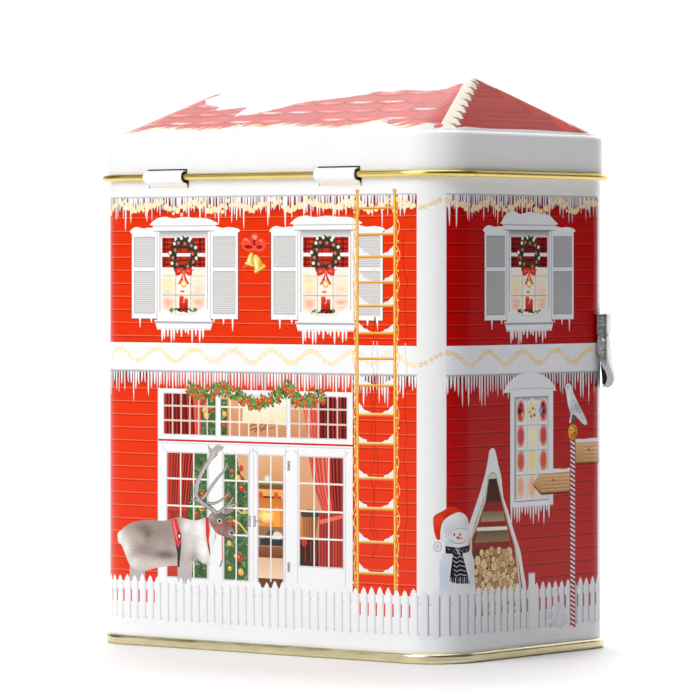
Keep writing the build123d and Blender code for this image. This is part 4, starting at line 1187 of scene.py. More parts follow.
def signpost(p, tone):
    """Striped post with a bird on a ball and two blank wooden boards."""
    own = random.Random(85)
    post0, post1 = 17.7, 20.4
    sign(p, [
        (18.0, 44.6), (18.0, 50.2), (4.0, 50.2), (3.2, 49.6), (0.2, 47.2), (3.4, 44.8), (4.4, 44.5),
    ], 44.6, 50.2, own, tone)
    sign(p, [
        (20.1, 52.3), (32.0, 52.2), (32.5, 53.0), (32.5, 57.8), (32.0, 58.3), (20.1, 58.3),
    ], 52.3, 58.3, own, tone)
    p.blob([
        (3.6, 50.0), (6.0, 50.8), (11.0, 51.0), (15.0, 50.8), (17.8, 51.0), (17.8, 50.1), (10.0, 49.9),
    ], tone["white"])
    p.blob([
        (20.4, 58.1), (20.6, 58.9), (25.0, 58.8), (29.0, 59.0), (32.2, 58.7), (32.5, 58.1), (26.0, 57.9),
    ], tone["white"])
    p.box(post0, 7.0, post1, 58.8, (236, 234, 238))
    for i in range(41):
        z = 6.6 + 1.28 * i
        p.area([(post0, z + 1.0), (post0, z + 1.7), (post1, z + 0.5), (post1, z - 0.2)], (172, 18, 34))
    p.box(post0, 7.0, post0 + 0.22, 58.8, (120, 20, 30))
    p.box(post1 - 0.3, 7.0, post1, 58.8, (150, 70, 78))
    ball = soft(
        (222, 158, 26), (18.2, 61.7, 1.0, 0.9, (255, 226, 110), 1.0),
        (20.4, 59.8, 1.0, 1.2, (150, 84, 14), 0.8),
    )
    p.mesh_points(17, 58.8, 21.5, 63, 0.45)
    p.disc(19.1, 60.9, 2.35, 2.35, (120, 66, 14), 20)
    p.disc(19.1, 60.9, 2.2, 2.2, ball, 20)
    for u, z, ru, rz in (
        (18.2, 61.5, 0.6, 0.3), (19.8, 60.6, 0.7, 0.3), (18.5, 59.9, 0.5, 0.3), (20.3, 61.9, 0.35, 0.5),
        (19.0, 62.4, 0.5, 0.25),
    ):
        p.disc(u, z, ru, rz, (196, 60, 24), 8, own.uniform(-0.8, 0.8))
    body = [
        (15.5, 73.2), (16.0, 74.2), (17.2, 74.5), (18.4, 73.8), (19.2, 72.2), (20.6, 70.2), (22.8, 67.6),
        (24.8, 65.2), (25.9, 63.4), (25.3, 62.7), (23.4, 63.4), (21.2, 64.9), (19.6, 65.3), (18.9, 64.4),
        (17.8, 63.4), (17.4, 63.9), (18.0, 65.8), (16.9, 68.2), (16.1, 71.0),
    ]
    p.blob([(a + 0.12, b - 0.16) for a, b in body], (90, 70, 72), 3)
    p.mesh_points(15.5, 62.7, 25.8, 74.4, 0.6)
    feathers = soft(
        (228, 230, 235), (21.6, 67.6, 3.4, 1.4, (176, 180, 190), 0.8),
        (24.2, 64.6, 1.4, 0.9, (196, 198, 206), 0.7), (17.2, 70.4, 0.8, 2.2, (246, 247, 250), 0.9),
        (16.8, 73.2, 1.2, 0.9, (240, 240, 244), 0.9), (18.4, 66.6, 0.9, 1.2, (186, 186, 194), 0.8),
    )
    p.blob(body, feathers, 3)
    for i in range(26):
        k = own.random()
        u, z = 17.4 + 6.6 * k + own.uniform(-0.5, 0.9), 71.8 - 7.2 * k + own.uniform(-1.0, 0.9)
        p.line([(u, z), (u + 0.42, z - 0.36)], 0.16, (146, 148, 160))
    p.area([(19.0, 65.9), (20.9, 65.3), (20.2, 63.4), (18.8, 62.9), (18.3, 64.2)], (92, 80, 76))
    for u, z in ((16.4, 73.5), (17.2, 73.6)):
        p.disc(u, z, 0.18, 0.2, (44, 40, 42), 6)
    p.area([(16.6, 73.2), (16.9, 73.2), (16.75, 72.6)], (60, 56, 56))


def gatepost_and_bush(p, tone):
    """White gatepost, and the snow-covered round bush in front of the fence."""
    p.box(-1.9, 7.0, 1.1, 22.8, tone["white"])
    p.box(-1.9, 7.0, -1.6, 22.6, tone["shade"])
    p.box(-1.9, 22.4, 1.1, 22.8, tone["shade"])
    own = random.Random(81)
    for _ in range(34):
        a, r = own.uniform(0, 2 * math.pi), own.uniform(0, 1) ** 0.5
        u, z = 11.4 + 4.4 * r * math.cos(a), 10.2 + 3.0 * r * math.sin(a)
        p.disc(u, z, 1.3, 0.9, tint((226, 228, 234), own.uniform(0.93, 1.05)), 10, own.uniform(0, 3))
    for _ in range(16):
        a = own.uniform(0, 2 * math.pi)
        u, z = 11.4 + 4.8 * math.cos(a), 10.2 + 3.3 * math.sin(a)
        p.line([(u, z), (u + own.uniform(-0.7, 0.7), z + own.uniform(-0.6, 0.6))], 0.16, (150, 150, 158))


def fir_tree(p, u, low, high, half, seed):
    """Snowy fir with lights, on a short trunk."""
    own = random.Random(seed)
    p.box(u - 0.9, 8.0, u + 0.9, low + 1, (108, 74, 48))
    tiers = 6
    for i in range(tiers):
        z0 = low + (high - low) * i / (tiers + 0.6)
        z1 = z0 + (high - low) * 0.3 * (1.15 - 0.06 * i)
        w = half * (1 - i / (tiers + 0.4))
        rim = [(
            u - w + 2 * w * k / 12, z0 + (0.9 if k % 2 else -0.5) + 0.02 * w * abs(k - 6),
        ) for k in range(13)]
        p.area([(u, min(z1, high))] + rim[::-1], fade((36, 72, 44), (74, 118, 66), z0, z1))
        for _ in range(int(9 * w)):
            t = own.random()
            a, z = u + own.uniform(-0.85, 0.85) * w * (1 - t), z0 + 0.8 + (z1 - z0 - 1.6) * t
            p.line([(a, z + 0.5), (a + own.uniform(-0.4, 0.4), z - 0.6)], 0.2, LEAVES[own.randrange(3)])
        for side in (-1, 1):
            p.blob([
                (u + side * w, z0 + 0.5), (u + side * w * 0.55, z0 + 2.2), (u + side * w * 0.25, z0 + 3.4),
                (u + side * w * 0.45, z0 + 1.4), (u + side * w * 0.75, z0 + 0.4),
            ], SNOW, 3)
        for k in range(int(w) + 1):
            a = u + own.uniform(-0.8, 0.8) * w
            ball = ((214, 52, 34), GOLD, (236, 96, 60))[k % 3]
            r = own.uniform(0.55, 0.8)
            p.disc(a, z0 + 0.9, r, r, ball, 10)
            p.disc(a - 0.2, z0 + 1.1, 0.22, 0.2, (252, 240, 216), 6)
    p.star(u, high + 0.6, 2.0, (246, 200, 84))
    p.star(u, high + 0.6, 1.2, (253, 232, 160))


def front_door(p, tone):
    """Panelled front door under a snowy porch roof, with lanterns and potted firs."""
    white, shade, line = tone["white"], tone["shade"], tint(tone["louvre"], 0.74)
    p.box(-11.6, 8.0, 11.6, 60.0, line)
    p.box(-11.4, 8.0, 11.4, 60.0, white)
    for u0, u1 in ((-10.8, -8.4), (8.4, 10.8)):
        p.box(u0, 12.0, u1, 56.5, fade_u(white, shade, u0, u1))
        for z in (12.0, 56.0):
            p.box(u0 - 0.3, z, u1 + 0.3, z + 0.9, shade)
    p.box(-7.8, 12.0, 7.8, 57.0, line)
    p.box(-7.4, 12.0, 7.4, 56.6, fade_u((60, 92, 58), (44, 72, 46), -7, 7))
    for u0, u1 in ((-6.2, -0.7), (0.7, 6.2)):
        for z0, z1 in ((14.5, 24.5), (26.8, 37.5)):
            p.box(u0, z0, u1, z1, (34, 58, 38))
            p.box(u0 + 0.35, z0 + 0.35, u1 - 0.2, z1 - 0.2, (72, 106, 68))
            p.box(u0 + 1.1, z0 + 1.1, u1 - 1.0, z1 - 1.0, (54, 86, 54))
    p.box(-6.3, 48.6, 6.3, 55.2, (34, 58, 38))
    p.box(-6.0, 48.9, 6.0, 54.9, fade((250, 224, 160), (246, 196, 120), 49, 55))
    panes(p, -6.0, 6.0, 48.9, 54.9, (-3.0, 0.0, 3.0), (51.9,), (60, 92, 58))
    p.disc(5.9, 36.6, 0.8, 0.8, (150, 108, 40), 12)
    p.disc(5.8, 36.8, 0.5, 0.5, (246, 210, 110), 10)
    wreath_ring(p, 0, 43.2, 5.2, lambda: p.disc(0, 43.2, 3.0, 3.0, (54, 86, 54), 20))
    bow(p, 0, 38.4, 2.8, (210, 48, 36), (238, 100, 80))
    # steps
    for i, z in enumerate((8.0, 10.0)):
        w = 12.8 - 2.2 * i
        p.box(-w, z, w, z + 1.9, fade(shade, white, z, z + 1.6))
        p.box(-w, z, w, z + 0.25, line)
    # porch roof
    p.area([(-15.5, 60.0), (15.5, 60.0), (0, 72.5)], line)
    p.area([(-14.6, 60.4), (14.6, 60.4), (0, 71.8)], white)
    p.area([(-10.8, 61.6), (10.8, 61.6), (0, 69.6)], (204, 48, 22))
    for i in range(4):
        z = 62.6 + 1.8 * i
        w = 9.4 - 2.35 * i
        p.box(-w, z, w, z + 0.25, (176, 36, 16))
    p.star(0, 64.4, 2.4, GOLD)
    p.star(0, 64.4, 1.5, (252, 226, 150))
    p.blob([
        (-17.0, 60.2), (-15.2, 62.6), (-9.0, 67.6), (-3.0, 73.0), (0, 74.6), (3.0, 73.0), (9.0, 67.8),
        (15.4, 62.4), (17.0, 60.2), (14.6, 60.6), (7.4, 66.6), (0, 72.2), (-7.4, 66.4), (-14.4, 60.8),
    ], white, 4)
    fir_garland(p, [
        (-14.5, 60.0), (-10.0, 57.2), (-5.0, 58.8), (0, 56.6), (5.0, 58.8), (10.0, 57.2), (14.5, 60.0),
    ], 1.3, 97)
    for side in (-1, 1):
        # lantern on the wall
        u = side * 15.6
        p.box(u - 0.3, 47.6, u + 0.3, 51.2, (60, 58, 60))
        p.area([(u - 1.9, 47.4), (u + 1.9, 47.4), (u + 0.5, 49.4), (u - 0.5, 49.4)], (60, 58, 60))
        p.area([(u - 1.5, 42.4), (u + 1.5, 42.4), (u + 1.8, 47.2), (u - 1.8, 47.2)], (250, 216, 130))
        p.disc(u, 44.6, 0.7, 1.3, (254, 242, 200), 10)
        for a in (-1.7, 0, 1.7):
            p.box(u + a - 0.14, 42.4, u + a + 0.14, 47.3, (60, 58, 60))
        p.box(u - 1.7, 41.9, u + 1.7, 42.6, (60, 58, 60))
        p.blob([
            (u - 1.9, 47.6), (u - 1.2, 49.0), (u, 49.9), (u + 1.2, 49.0), (u + 1.9, 47.6), (u, 48.1),
        ], white, 3)
        # potted fir
        fir_tree(p, side * 17.4, 14.0, 35.0, 5.0, 98 + side)
        u = side * 17.4
        p.area(
            [(u - 2.8, 14.6), (u + 2.8, 14.6), (u + 2.2, 8.4), (u - 2.2, 8.4)],
            fade_u((196, 60, 34), (146, 36, 22), u - 2.6, u + 2.6),
        )
        p.box(u - 3.1, 13.6, u + 3.1, 15.0, (214, 78, 46))
        p.blob([(u - 3.2, 14.8), (u - 1.6, 16.0), (u + 1.0, 15.6), (u + 3.2, 14.9), (u, 14.6)], white, 3)


def sled(p, u, z):
    """Wooden sled leaning on the wall."""
    wood, dark = (206, 150, 92), (150, 98, 54)
    for side in (0, 6.6):
        p.curve([
            (u + side, z), (u + side + 0.6, z + 12), (u + side + 1.2, z + 23), (u + side + 0.4, z + 26.5),
        ], 1.0, (196, 44, 30))
    for i in range(5):
        a = z + 4.2 + 4.1 * i
        p.area([
            (u - 1.4 + 0.05 * i, a), (u + 8.6 + 0.05 * i, a + 0.3), (u + 8.7, a + 2.5), (u - 1.2, a + 2.2),
        ], fade(dark, wood, a - 1.5, a + 1.2))
        p.line([(u - 0.8, a + 1.2), (u + 8.0, a + 1.5)], 0.14, dark)
    p.blob([
        (u - 1.2, z + 22.8), (u + 1, z + 24.0), (u + 5, z + 23.6), (u + 9.0, z + 23.9), (u + 8.6, z + 22.9),
        (u + 3, z + 22.5),
    ], SNOW, 3)
    p.curve([(u + 1.2, z + 26), (u + 3.8, z + 30), (u + 7.4, z + 26.2)], 0.4, (222, 196, 150))


# ---------------------------------------------------------------- wall prints
RED_0, RED_1 = -59.65, 53.45  # red boards of a long wall, measured along it
END_0, END_1 = 61.55 - END_AT, 129.9 - END_AT  # red boards of an end wall
WALL_0, WALL_1 = -62.1, 54.0  # the prints meet in the white corner posts


def guides(middle, u0, u1):
    """Upright lines, close together round the corners."""
    out = []
    s = -FLAT_L / 2
    for flat in (FLAT_L, FLAT_D, FLAT_L, FLAT_D):
        s += flat
        for i in range(21):
            for turn in (-GIRTH, 0, GIRTH):
                u = s + ARC * i / 20 - middle + turn
                if u0 + 0.05 < u < u1 - 0.05:
                    out.append([(u, PRINT_LOW), (u, PRINT_TOP)])
        s += ARC
    return out


def start_wall(middle, u0, u1):
    """White sheet for a stretch of wall. u0 and u1 are measured from middle."""
    outline = [(u0, PRINT_LOW), (u1, PRINT_LOW), (u1, PRINT_TOP), (u0, PRINT_TOP)]
    return Ink(outline, WHITE, guides(middle, u0, u1))


def end_wall_ground(p, tone, seed):
    """What both end walls share: boards, band, icicles and lights."""
    # painted light: the boards grow lighter and warmer towards their foot, as lit from the floor
    floor_lit_board = fade((192, 12, 4), tone["board"], 26, 66)
    siding(p, END_0, END_1, BAND_TOP, EAVES_ICE_Z, tone, 87.0)
    siding(p, END_0, END_1, BOARDS_FOOT, BAND_LOW, tone, 10.1, floor_lit_board)
    eaves_band(p, END_0, END_1, tone, END_WAVES, seed)
    lights(p, END_0 - 7.5, END_0, 123.9, 1.1, *END_WAVES, 0.5, tone, 0.2, seed + 7)
    icicles(p, END_0, END_1, BAND_ICE_Z, tone, 2.6, 6.0, 1.2, 4.2, seed + 2)
    storey_band(p, END_0, END_1, tone, END_WAVES, seed + 3)
    lights(p, END_0 - 7.5, END_0, BULBS_Z, BULBS_SWING, *END_WAVES, 0.5, tone, 0.12, seed + 8)


def long_wall_ground(p, tone, seed):
    """What both long walls share: boards, band, icicles and lights."""
    siding(p, RED_0, RED_1, BAND_TOP, EAVES_ICE_Z, tone, 87.0)
    siding(p, RED_0, RED_1, BOARDS_FOOT, BAND_LOW, tone, 9.6)
    eaves_band(p, RED_0, RED_1, tone, LONG_WAVES, seed)
    icicles(p, RED_0, RED_1, BAND_ICE_Z, tone, 2.8, 5.8, 1.1, 4.2, seed + 2)
    storey_band(p, RED_0 - 1.5, RED_1, tone, LONG_WAVES, seed + 3)


def hinge_wall():
    """Long wall under the hinge: glazed doors, reindeer and ladder."""
    p = start_wall(0, WALL_0, WALL_1)
    long_wall_ground(p, WARM, 1)
    for c, seed in ((-28.2, 5), (22.6, 6)):
        upper_window(p, c, WARM, 1.0, seed)
    bells(p)
    patio_doors(p, WARM)
    reindeer(p)
    ladder(p)
    frost(p)
    fence(p, WALL_0 + 0.2, WALL_1, WARM, 2.84, 20.0, 9)
    return p


def right_end():
    """End wall with the log rack, the snowman and the signpost."""
    u0, u1 = WALL_1 - END_AT, 2 * END_AT + WALL_0 - END_AT
    p = start_wall(END_AT, u0, u1)
    end_wall_ground(p, SHADED_END_TONES, 11)
    upper_window(p, -1.5, SHADED_END_TONES, 1.07, 12)
    gable_window(p, SHADED_END_TONES)
    log_rack(p, SHADED_END_TONES)
    snowman(p, SHADED_END_TONES)
    fence(p, u0, u1, SHADED_END_TONES, 3.02, 20.2, 13)
    gatepost_and_bush(p, SHADED_END_TONES)
    signpost(p, SHADED_END_TONES)
    return p


def front_wall():
    """Long wall opposite the hinge, with the front door."""
    p = start_wall(HALF_GIRTH, WALL_0, WALL_1)
    long_wall_ground(p, WARM, 21)
    for c, seed in ((-31.0, 25), (25.0, 26)):
        upper_window(p, c, WARM, 1.0, seed)
        gable_window(p, WARM, c)
    bells(p)
    fence(p, WALL_0 + 0.2, -13.0, WARM, 2.84, 20.0, 29)
    fence(p, 13.0, WALL_1, WARM, 2.84, 20.0, 30)
    p.box(-13.2, 3.0, 13.2, 8.2, WHITE)
    front_door(p, WARM)
    return p


def left_end():
    """End wall with the fir and the sled."""
    u0, u1 = WALL_1 - END_AT, 2 * END_AT + WALL_0 - END_AT
    p = start_wall(HALF_GIRTH + END_AT, u0, u1)
    end_wall_ground(p, SHADED_END_TONES, 31)
    upper_window(p, -1.5, SHADED_END_TONES, 1.07, 32)
    gable_window(p, SHADED_END_TONES)
    sled(p, 16.0, 18.0)
    fence(p, u0, u1, SHADED_END_TONES, 3.02, 20.2, 33)
    fir_tree(p, -22.5, 14.0, 66.0, 10.5, 34)
    return p


def on_wall(middle):
    """Turns a place on a sheet, u from middle and z up, into a point of the wall and its normal."""
    def place(u, z):
        point, out = wall_at(u + middle)
        point = point + out * INK
        return (point.x, point.y, z), Vector((out.x, out.y, 0))

    return place


SHEETS = (
    ("print_hinge_wall", hinge_wall, 0.0), ("print_right_end", right_end, END_AT),
    ("print_front_wall", front_wall, HALF_GIRTH), ("print_left_end", left_end, HALF_GIRTH + END_AT),
)


# ---------------------------------------------------------------- roof print
ROOF_HEIGHT = 15.75
RIDGE_Z = lid_high[2] / MM
EAVE_Z = RIDGE_Z - ROOF_HEIGHT
EAVE = (61.6, 40.1, 11.6)  # half length, half depth and corner radius of the roof's foot
RIDGE = (42.8, 0.9, 0.8)  # and of its ridge
ROOF_INK = 0.05  # the roof's print stands this far off it


def roof_gap(x, y, t):
    """Signed distance of a point in plan from the roof's outline at the height t, from 0 to 1."""
    half_l, half_d, r = (a + (b - a) * t for a, b in zip(EAVE, RIDGE))
    dx, dy = abs(x) - half_l + r, abs(y) - half_d + r
    return math.hypot(max(dx, 0), max(dy, 0)) + min(max(dx, dy), 0) - r


def roof_rise(x, y):
    """How far up the roof a point in plan is, from 0 at the eave to 1 at the ridge."""
    low, high = 0.0, 1.0
    if roof_gap(x, y, 1.0) <= 0:
        return 1.0
    for _ in range(26):
        t = (low + high) / 2
        if roof_gap(x, y, t) <= 0:
            low = t
        else:
            high = t
    return low


def on_roof(x, y):
    """Point of the roof above a point in plan, and its normal."""
    rise = RIDGE_Z - EAVE_Z
    e = 0.04  # half the step over which the slope is measured
    sx = (roof_rise(x + e, y) - roof_rise(x - e, y)) * rise / (2 * e)
    sy = (roof_rise(x, y + e) - roof_rise(x, y - e)) * rise / (2 * e)
    up = Vector((-sx, -sy, 1)).normalized()
    place = Vector((x, y, EAVE_Z + rise * roof_rise(x, y))) + up * ROOF_INK
    return tuple(place), up


def roof_outline(t, inset, n=16):
    """The roof's outline in plan at the height t, with n steps round each corner."""
    half_l, half_d, r = (a + (b - a) * t for a, b in zip(EAVE, RIDGE))
    pts = []
    for sx, sy, start in ((1, 1, 0), (-1, 1, 90), (-1, -1, 180), (1, -1, 270)):
        for i in range(n + 1):
            a = math.radians(start + 90 * i / n)
            pts.append((
                sx * (half_l - r) + (r - inset) * math.cos(a),
                sy * (half_d - r) + (r - inset) * math.sin(a),
            ))
    return pts


TILE = (190, 50, 42)
TILE_EDGE = (112, 8, 14)
ROOF_SNOW = (206, 207, 213)
UPPER_SNOW = (
    (-60.9, -39.2), (-58.6, -35.6), (-55.2, -25.6), (-50.6, -16.4), (-45.6, -8.4), (-42.1, -7.9),
    (-44.6, -12.2), (-41.0, -16.2), (-34.2, -18.3), (-33.5, -21.2), (-23.2, -19.0), (-22.6, -26.1),
    (-15.2, -24.7), (-8.7, -19.4), (-4.3, -16.4), (4.0, -14.4), (12.0, -12.4), (16.9, -9.7), (23.5, -10.6),
    (24.6, -8.9), (33.8, -10.3), (39.3, -9.9), (42.6, -5.1),
)
LOWER_SNOW = (
    (-61.0, -39.6), (-56.0, -38.3), (-49.0, -36.6), (-42.9, -34.0), (-31.2, -35.9), (-20.4, -36.1),
    (-13.6, -34.0), (-5.1, -35.7), (0.7, -34.0), (14.3, -36.2), (22.0, -37.1), (29.7, -35.1), (35.0, -32.9),
    (47.2, -38.4), (52.6, -35.1), (56.0, -32.8),
)


def roof_face(p, k):
    """Tiles and snow of one long face and the end face on its right. k = -1 turns them half round."""
    own = random.Random(100 + k)

    def turn(points):
        return [(k * x, k * y) for x, y in points]

    # tiles, from the eave up, each row over the one below it
    p.area(turn([(-62.5, -41), (60, -41), (43, -1.2), (-44, -1.2)]), TILE)
    pitch_u, pitch_v = 11.0, 6.4
    for row in range(6):
        y = -38.6 + pitch_v * row
        shift = pitch_u / 2 * (row % 2)
        for i in range(-7, 8):
            x = i * pitch_u + shift + own.uniform(-0.4, 0.4)
            limit = 60.0 - (y + 40.1) * 0.48
            if x > limit - 1.0 or -x > limit + 3.0:
                continue
            w = pitch_u * 0.52
            tone = tint(TILE, own.uniform(0.93, 1.06))
            foot = [
                (x - w, y + 2.6), (x - w * 0.9, y + 1.2), (x - w * 0.5, y + 0.25), (x, y),
                (x + w * 0.5, y + 0.25), (x + w * 0.9, y + 1.2), (x + w, y + 2.6),
            ]
            head = min(y + pitch_v + 1.6, -1.0)
            top = [(x + w, head), (x - w, head)]
            p.area(turn([(a, b - 0.45) for a, b in foot] + top), TILE_EDGE)
            p.area(turn(foot + top), tone)
            glow = own.random()
            if glow < 0.88:
                lit = (246, 190, 178) if glow < 0.5 else (222, 118, 104)
                p.area(turn([
                    (x - w * 0.7, y + 1.9), (x - w * 0.3, y + 1.1), (x + w * 0.3, y + 1.0),
                    (x + w * 0.75, y + 1.9), (x + w * 0.3, y + 2.0), (x - w * 0.3, y + 2.3),
                ]), lit)
            for _ in range(5):
                a, b = x + own.uniform(-0.8, 0.5) * w, y + own.uniform(1.6, 5.8)
                p.area(turn(
                    [(a, b), (a + own.uniform(1.2, 3.0), b + 0.1), (a + 1.0, b + 0.36)],
                ), tint(tone, own.choice((0.9, 1.08, 1.14))))
            p.area(turn([
                (x + w - 0.28, y + 1.4), (x + w + 0.12, y + 1.4), (x + w + 0.12, y + pitch_v),
                (x + w - 0.12, y + pitch_v),
            ]), TILE_EDGE)
    # cream lights and frost along the lower snow
    lower = spline(list(LOWER_SNOW), False, 4)
    for i, (x, y) in enumerate(lower[2:-4]):
        own.random()  # keeps the later draws in their places
        paint = ((236, 220, 168), (232, 228, 212), (238, 212, 150))[i % 3]
        for _ in range(2):
            a = x + own.uniform(-1.5, 1.5)
            run, rise = own.uniform(1.4, 4.2), own.uniform(0.9, 3.2)
            p.area(turn([
                (a - run * 0.5, y + 0.1), (a + run * 0.2, y + rise * 0.5), (a + run * 0.8, y + rise),
                (a + run * 0.35, y + rise * 0.35), (a + run * 0.3, y + 0.1),
            ]), paint)
    p.area(turn(list(UPPER_SNOW) + [(43.4, -1.0), (43.4, 0.5), (-43.4, 0.5), (-63.2, -40.4)]), ROOF_SNOW)
    p.area(turn(lower + [(60.8, -39.5), (61.4, -42), (-63.4, -42), (-63.4, -39.6)]), ROOF_SNOW)
    for (x0, y0), (x1, y1) in zip(UPPER_SNOW[1:], UPPER_SNOW[2:]):
        for _ in range(3):
            t = own.random()
            x, y = x0 + (x1 - x0) * t, y0 + (y1 - y0) * t
            run = own.uniform(1.2, 3.6)
            p.area(turn([
                (x - run, y - 0.9), (x - run * 0.2, y - 0.5), (x + 0.6, y + 0.1), (x - run * 0.3, y + 0.1),
            ]), own.choice((TILE_EDGE, (216, 140, 130), (196, 70, 60))))
    # end face
    red = (170, 42, 34)
    p.area(turn([(63, -42), (59.4, -38.4), (43.0, -1.0), (43.0, 1.0), (59.4, 38.4), (63, 42)]), ROOF_SNOW)
    edge = spline([
        (59.5, -35.6), (60.3, -26.0), (60.6, -16.9), (60.4, 0.5), (60.6, 15.3), (60.7, 28.0), (58.9, 34.2),
    ], False, 5)
    p.area(turn(edge + [(52.2, 17.8), (45.4, 2.8), (43.6, 0.4), (43.8, -1.2), (46.4, -6.2)]), red)
    for i in range(18):
        x = 45.0 + 0.86 * i
        reach = (x - 42.8) * 1.85
        a, b = -reach * own.uniform(0.55, 0.95), reach * own.uniform(0.2, 0.95)
        p.area(
            turn([(x, a), (x + 0.22, a), (x + 0.22, b), (x, b)]),
            own.choice(((190, 70, 58), (182, 58, 48), (150, 28, 26))),
        )
    # toothed snow caps on the hips
    for foot, head, teeth in (((60.6, -37.6), (43.2, -1.6), 9), ((59.6, 35.8), (43.4, 1.6), 0)):
        (x0, y0), (x1, y1) = foot, head
        wide = 3.4 if teeth else 0.9
        left = [
            (x0 - wide * 0.9 + 0.2, y0 + 0.6), (x1 - wide * 0.55, y1 - 0.4),
        ] if teeth else [(x0 - 0.8, y0), (x1 - 0.6, y1 + 0.2)]
        right = []
        n = max(teeth * 2, 2)
        for i in range(n + 1):
            t = i / n
            reach = (0.5 + (2.6 if i % 2 == 0 else 0.7) * (1 - 0.45 * t)) if teeth else 0.5
            right.append((
                x0 + (x1 - x0) * t + reach * 0.9, y0 + (y1 - y0) * t + reach * 0.42 * (1 if teeth else -1),
            ))
        p.area(turn([left[0], left[1]] + right[::-1]), (224, 216, 200))
        for i in range(teeth):
            t = (i + 0.62) / teeth
            x, y = x0 + (x1 - x0) * t + 0.9, y0 + (y1 - y0) * t + 0.6
            p.area(turn(
                [(x - 1.1, y - 0.6), (x + 1.2, y - 0.3), (x + 1.5, y + 0.6), (x - 0.4, y + 0.8)],
            ), (124, 104, 92))
            p.area(turn(
                [(x - 1.9, y - 0.9), (x - 0.5, y - 1.1), (x + 1.6, y - 1.0), (x + 0.4, y - 0.5)],
            ), (240, 226, 190))
            p.area(turn([(x - 2.6, y - 0.2), (x - 1.3, y - 0.1), (x - 1.2, y + 0.3)]), (186, 150, 132))
    # small red mark at the foot of the near hip
    for x, y, rx, ry, paint in (
        (56.2, -34.6, 1.1, 1.6, (150, 40, 16)), (56.2, -34.5, 0.8, 1.2, (206, 62, 20)),
    ):
        p.disc(*turn([(x, y)])[0], rx, ry, paint, 12)


def roof_print():
    """Snow all over, with both long faces and both ends drawn on it."""
    rulings = [list(pair) for pair in zip(roof_outline(0.0, 0.06), roof_outline(1.0, 0.0))]
    ridge = roof_outline(1.0, 0.0, 4)
    p = Ink(roof_outline(0.0, 0.06), ROOF_SNOW, rulings + [ridge + ridge[:1]])
    for k in (1, -1):
        roof_face(p, k)
    return p


# ---------------------------------------------------------------- materials
def new_material(name):
    """Material with its node tree and its surface node."""
    m = bpy.data.materials.new(name)
    m.use_nodes = True
    return m, m.node_tree, m.node_tree.nodes["Principled BSDF"]


def maths(nt, operation, a, b=None, clamp=False):
    n = nt.nodes.new("ShaderNodeMath")
    n.operation = operation
    n.use_clamp = clamp
    for i, v in enumerate((a, b)):
        if v is None:
            continue
        if isinstance(v, (int, float)):
            n.inputs[i].default_value = v
        else:
            nt.links.new(v, n.inputs[i])
    return n.outputs[0]


def mix(nt, factor, a, b):
    n = nt.nodes.new("ShaderNodeMix")
    n.data_type = "RGBA"
    nt.links.new(factor, n.inputs[0]) if not isinstance(factor, float) else None
    if isinstance(factor, float):
        n.inputs[0].default_value = factor
    for slot, v in ((6, a), (7, b)):
        if isinstance(v, tuple):
            n.inputs[slot].default_value = (*v, 1.0) if len(v) == 3 else v
        else:
            nt.links.new(v, n.inputs[slot])
    return n.outputs[2]


def vector(nt, operation, a, b, out="Vector"):
    n = nt.nodes.new("ShaderNodeVectorMath")
    n.operation = operation
    for i, v in enumerate((a, b)):
        if isinstance(v, tuple):
            n.inputs[i].default_value = v
        else:
            nt.links.new(v, n.inputs[i])
    return n.outputs[out]


def noise(nt, where, scale, detail=3.0, rough=0.55):
    n = nt.nodes.new("ShaderNodeTexNoise")
    n.inputs["Scale"].default_value = scale
    n.inputs["Detail"].default_value = detail
    n.inputs["Roughness"].default_value = rough
    nt.links.new(where, n.inputs["Vector"])
    return n.outputs["Fac"]


def ramp(nt, value, low, high, out_low, out_high):
    n = nt.nodes.new("ShaderNodeMapRange")
    nt.links.new(value, n.inputs["Value"])
    for key, v in (("From Min", low), ("From Max", high), ("To Min", out_low), ("To Max", out_high)):
        n.inputs[key].default_value = v
    return n.outputs["Result"]


def bump(nt, height, strength, distance, under=None):
    n = nt.nodes.new("ShaderNodeBump")
    n.inputs["Strength"].default_value = strength
    n.inputs["Distance"].default_value = distance
    nt.links.new(height, n.inputs["Height"])
    if under is not None:
        nt.links.new(under, n.inputs["Normal"])
    return n.outputs["Normal"]


OUTWARDS = (0.829038, 0.559193, 0.0)  # the clasp's outward direction on the corner
HINGE, PIVOT = (
    next(tuple(j["pos_m"]) for j in frame["record"]["behaviour"]["joints"] if j["name"] == name)
    for name in ("lid_hinge", "clasp_pivot")
)


def varnish_surface(nt, bsdf, where):
    """Roughness and relief of glossy varnish over sheet. Returns the ink's unevenness, and the wear."""
    fine = noise(nt, where, 2600.0, 2.0, 0.6)
    peel = noise(nt, where, 420.0, 2.0, 0.5)
    dents = noise(nt, where, 26.0, 2.0, 0.4)
    wear = noise(nt, where, 90.0, 4.0, 0.65)
    nt.links.new(ramp(nt, wear, 0.3, 0.7, 0.16, 0.24), bsdf.inputs["Roughness"])
    first = bump(nt, dents, 0.12, 0.0012)
    second = bump(nt, peel, 0.10, 0.00012, first)
    nt.links.new(bump(nt, fine, 0.10, 0.00002, second), bsdf.inputs["Normal"])
    bsdf.inputs["Specular IOR Level"].default_value = 0.18
    # halftone grain and slightly uneven ink
    grain = ramp(nt, fine, 0.3, 0.7, 0.965, 1.03)
    patch = ramp(nt, wear, 0.3, 0.7, 0.985, 1.015)
    return maths(nt, "MULTIPLY", grain, patch), wear


def metal_surface(nt, where, stretch):
    """Value that streaks along the sheet's rolling direction."""
    mapping = nt.nodes.new("ShaderNodeMapping")
    mapping.inputs["Scale"].default_value = stretch
    nt.links.new(where, mapping.inputs["Vector"])
    return noise(nt, mapping.outputs["Vector"], 900.0, 4.0, 0.6)


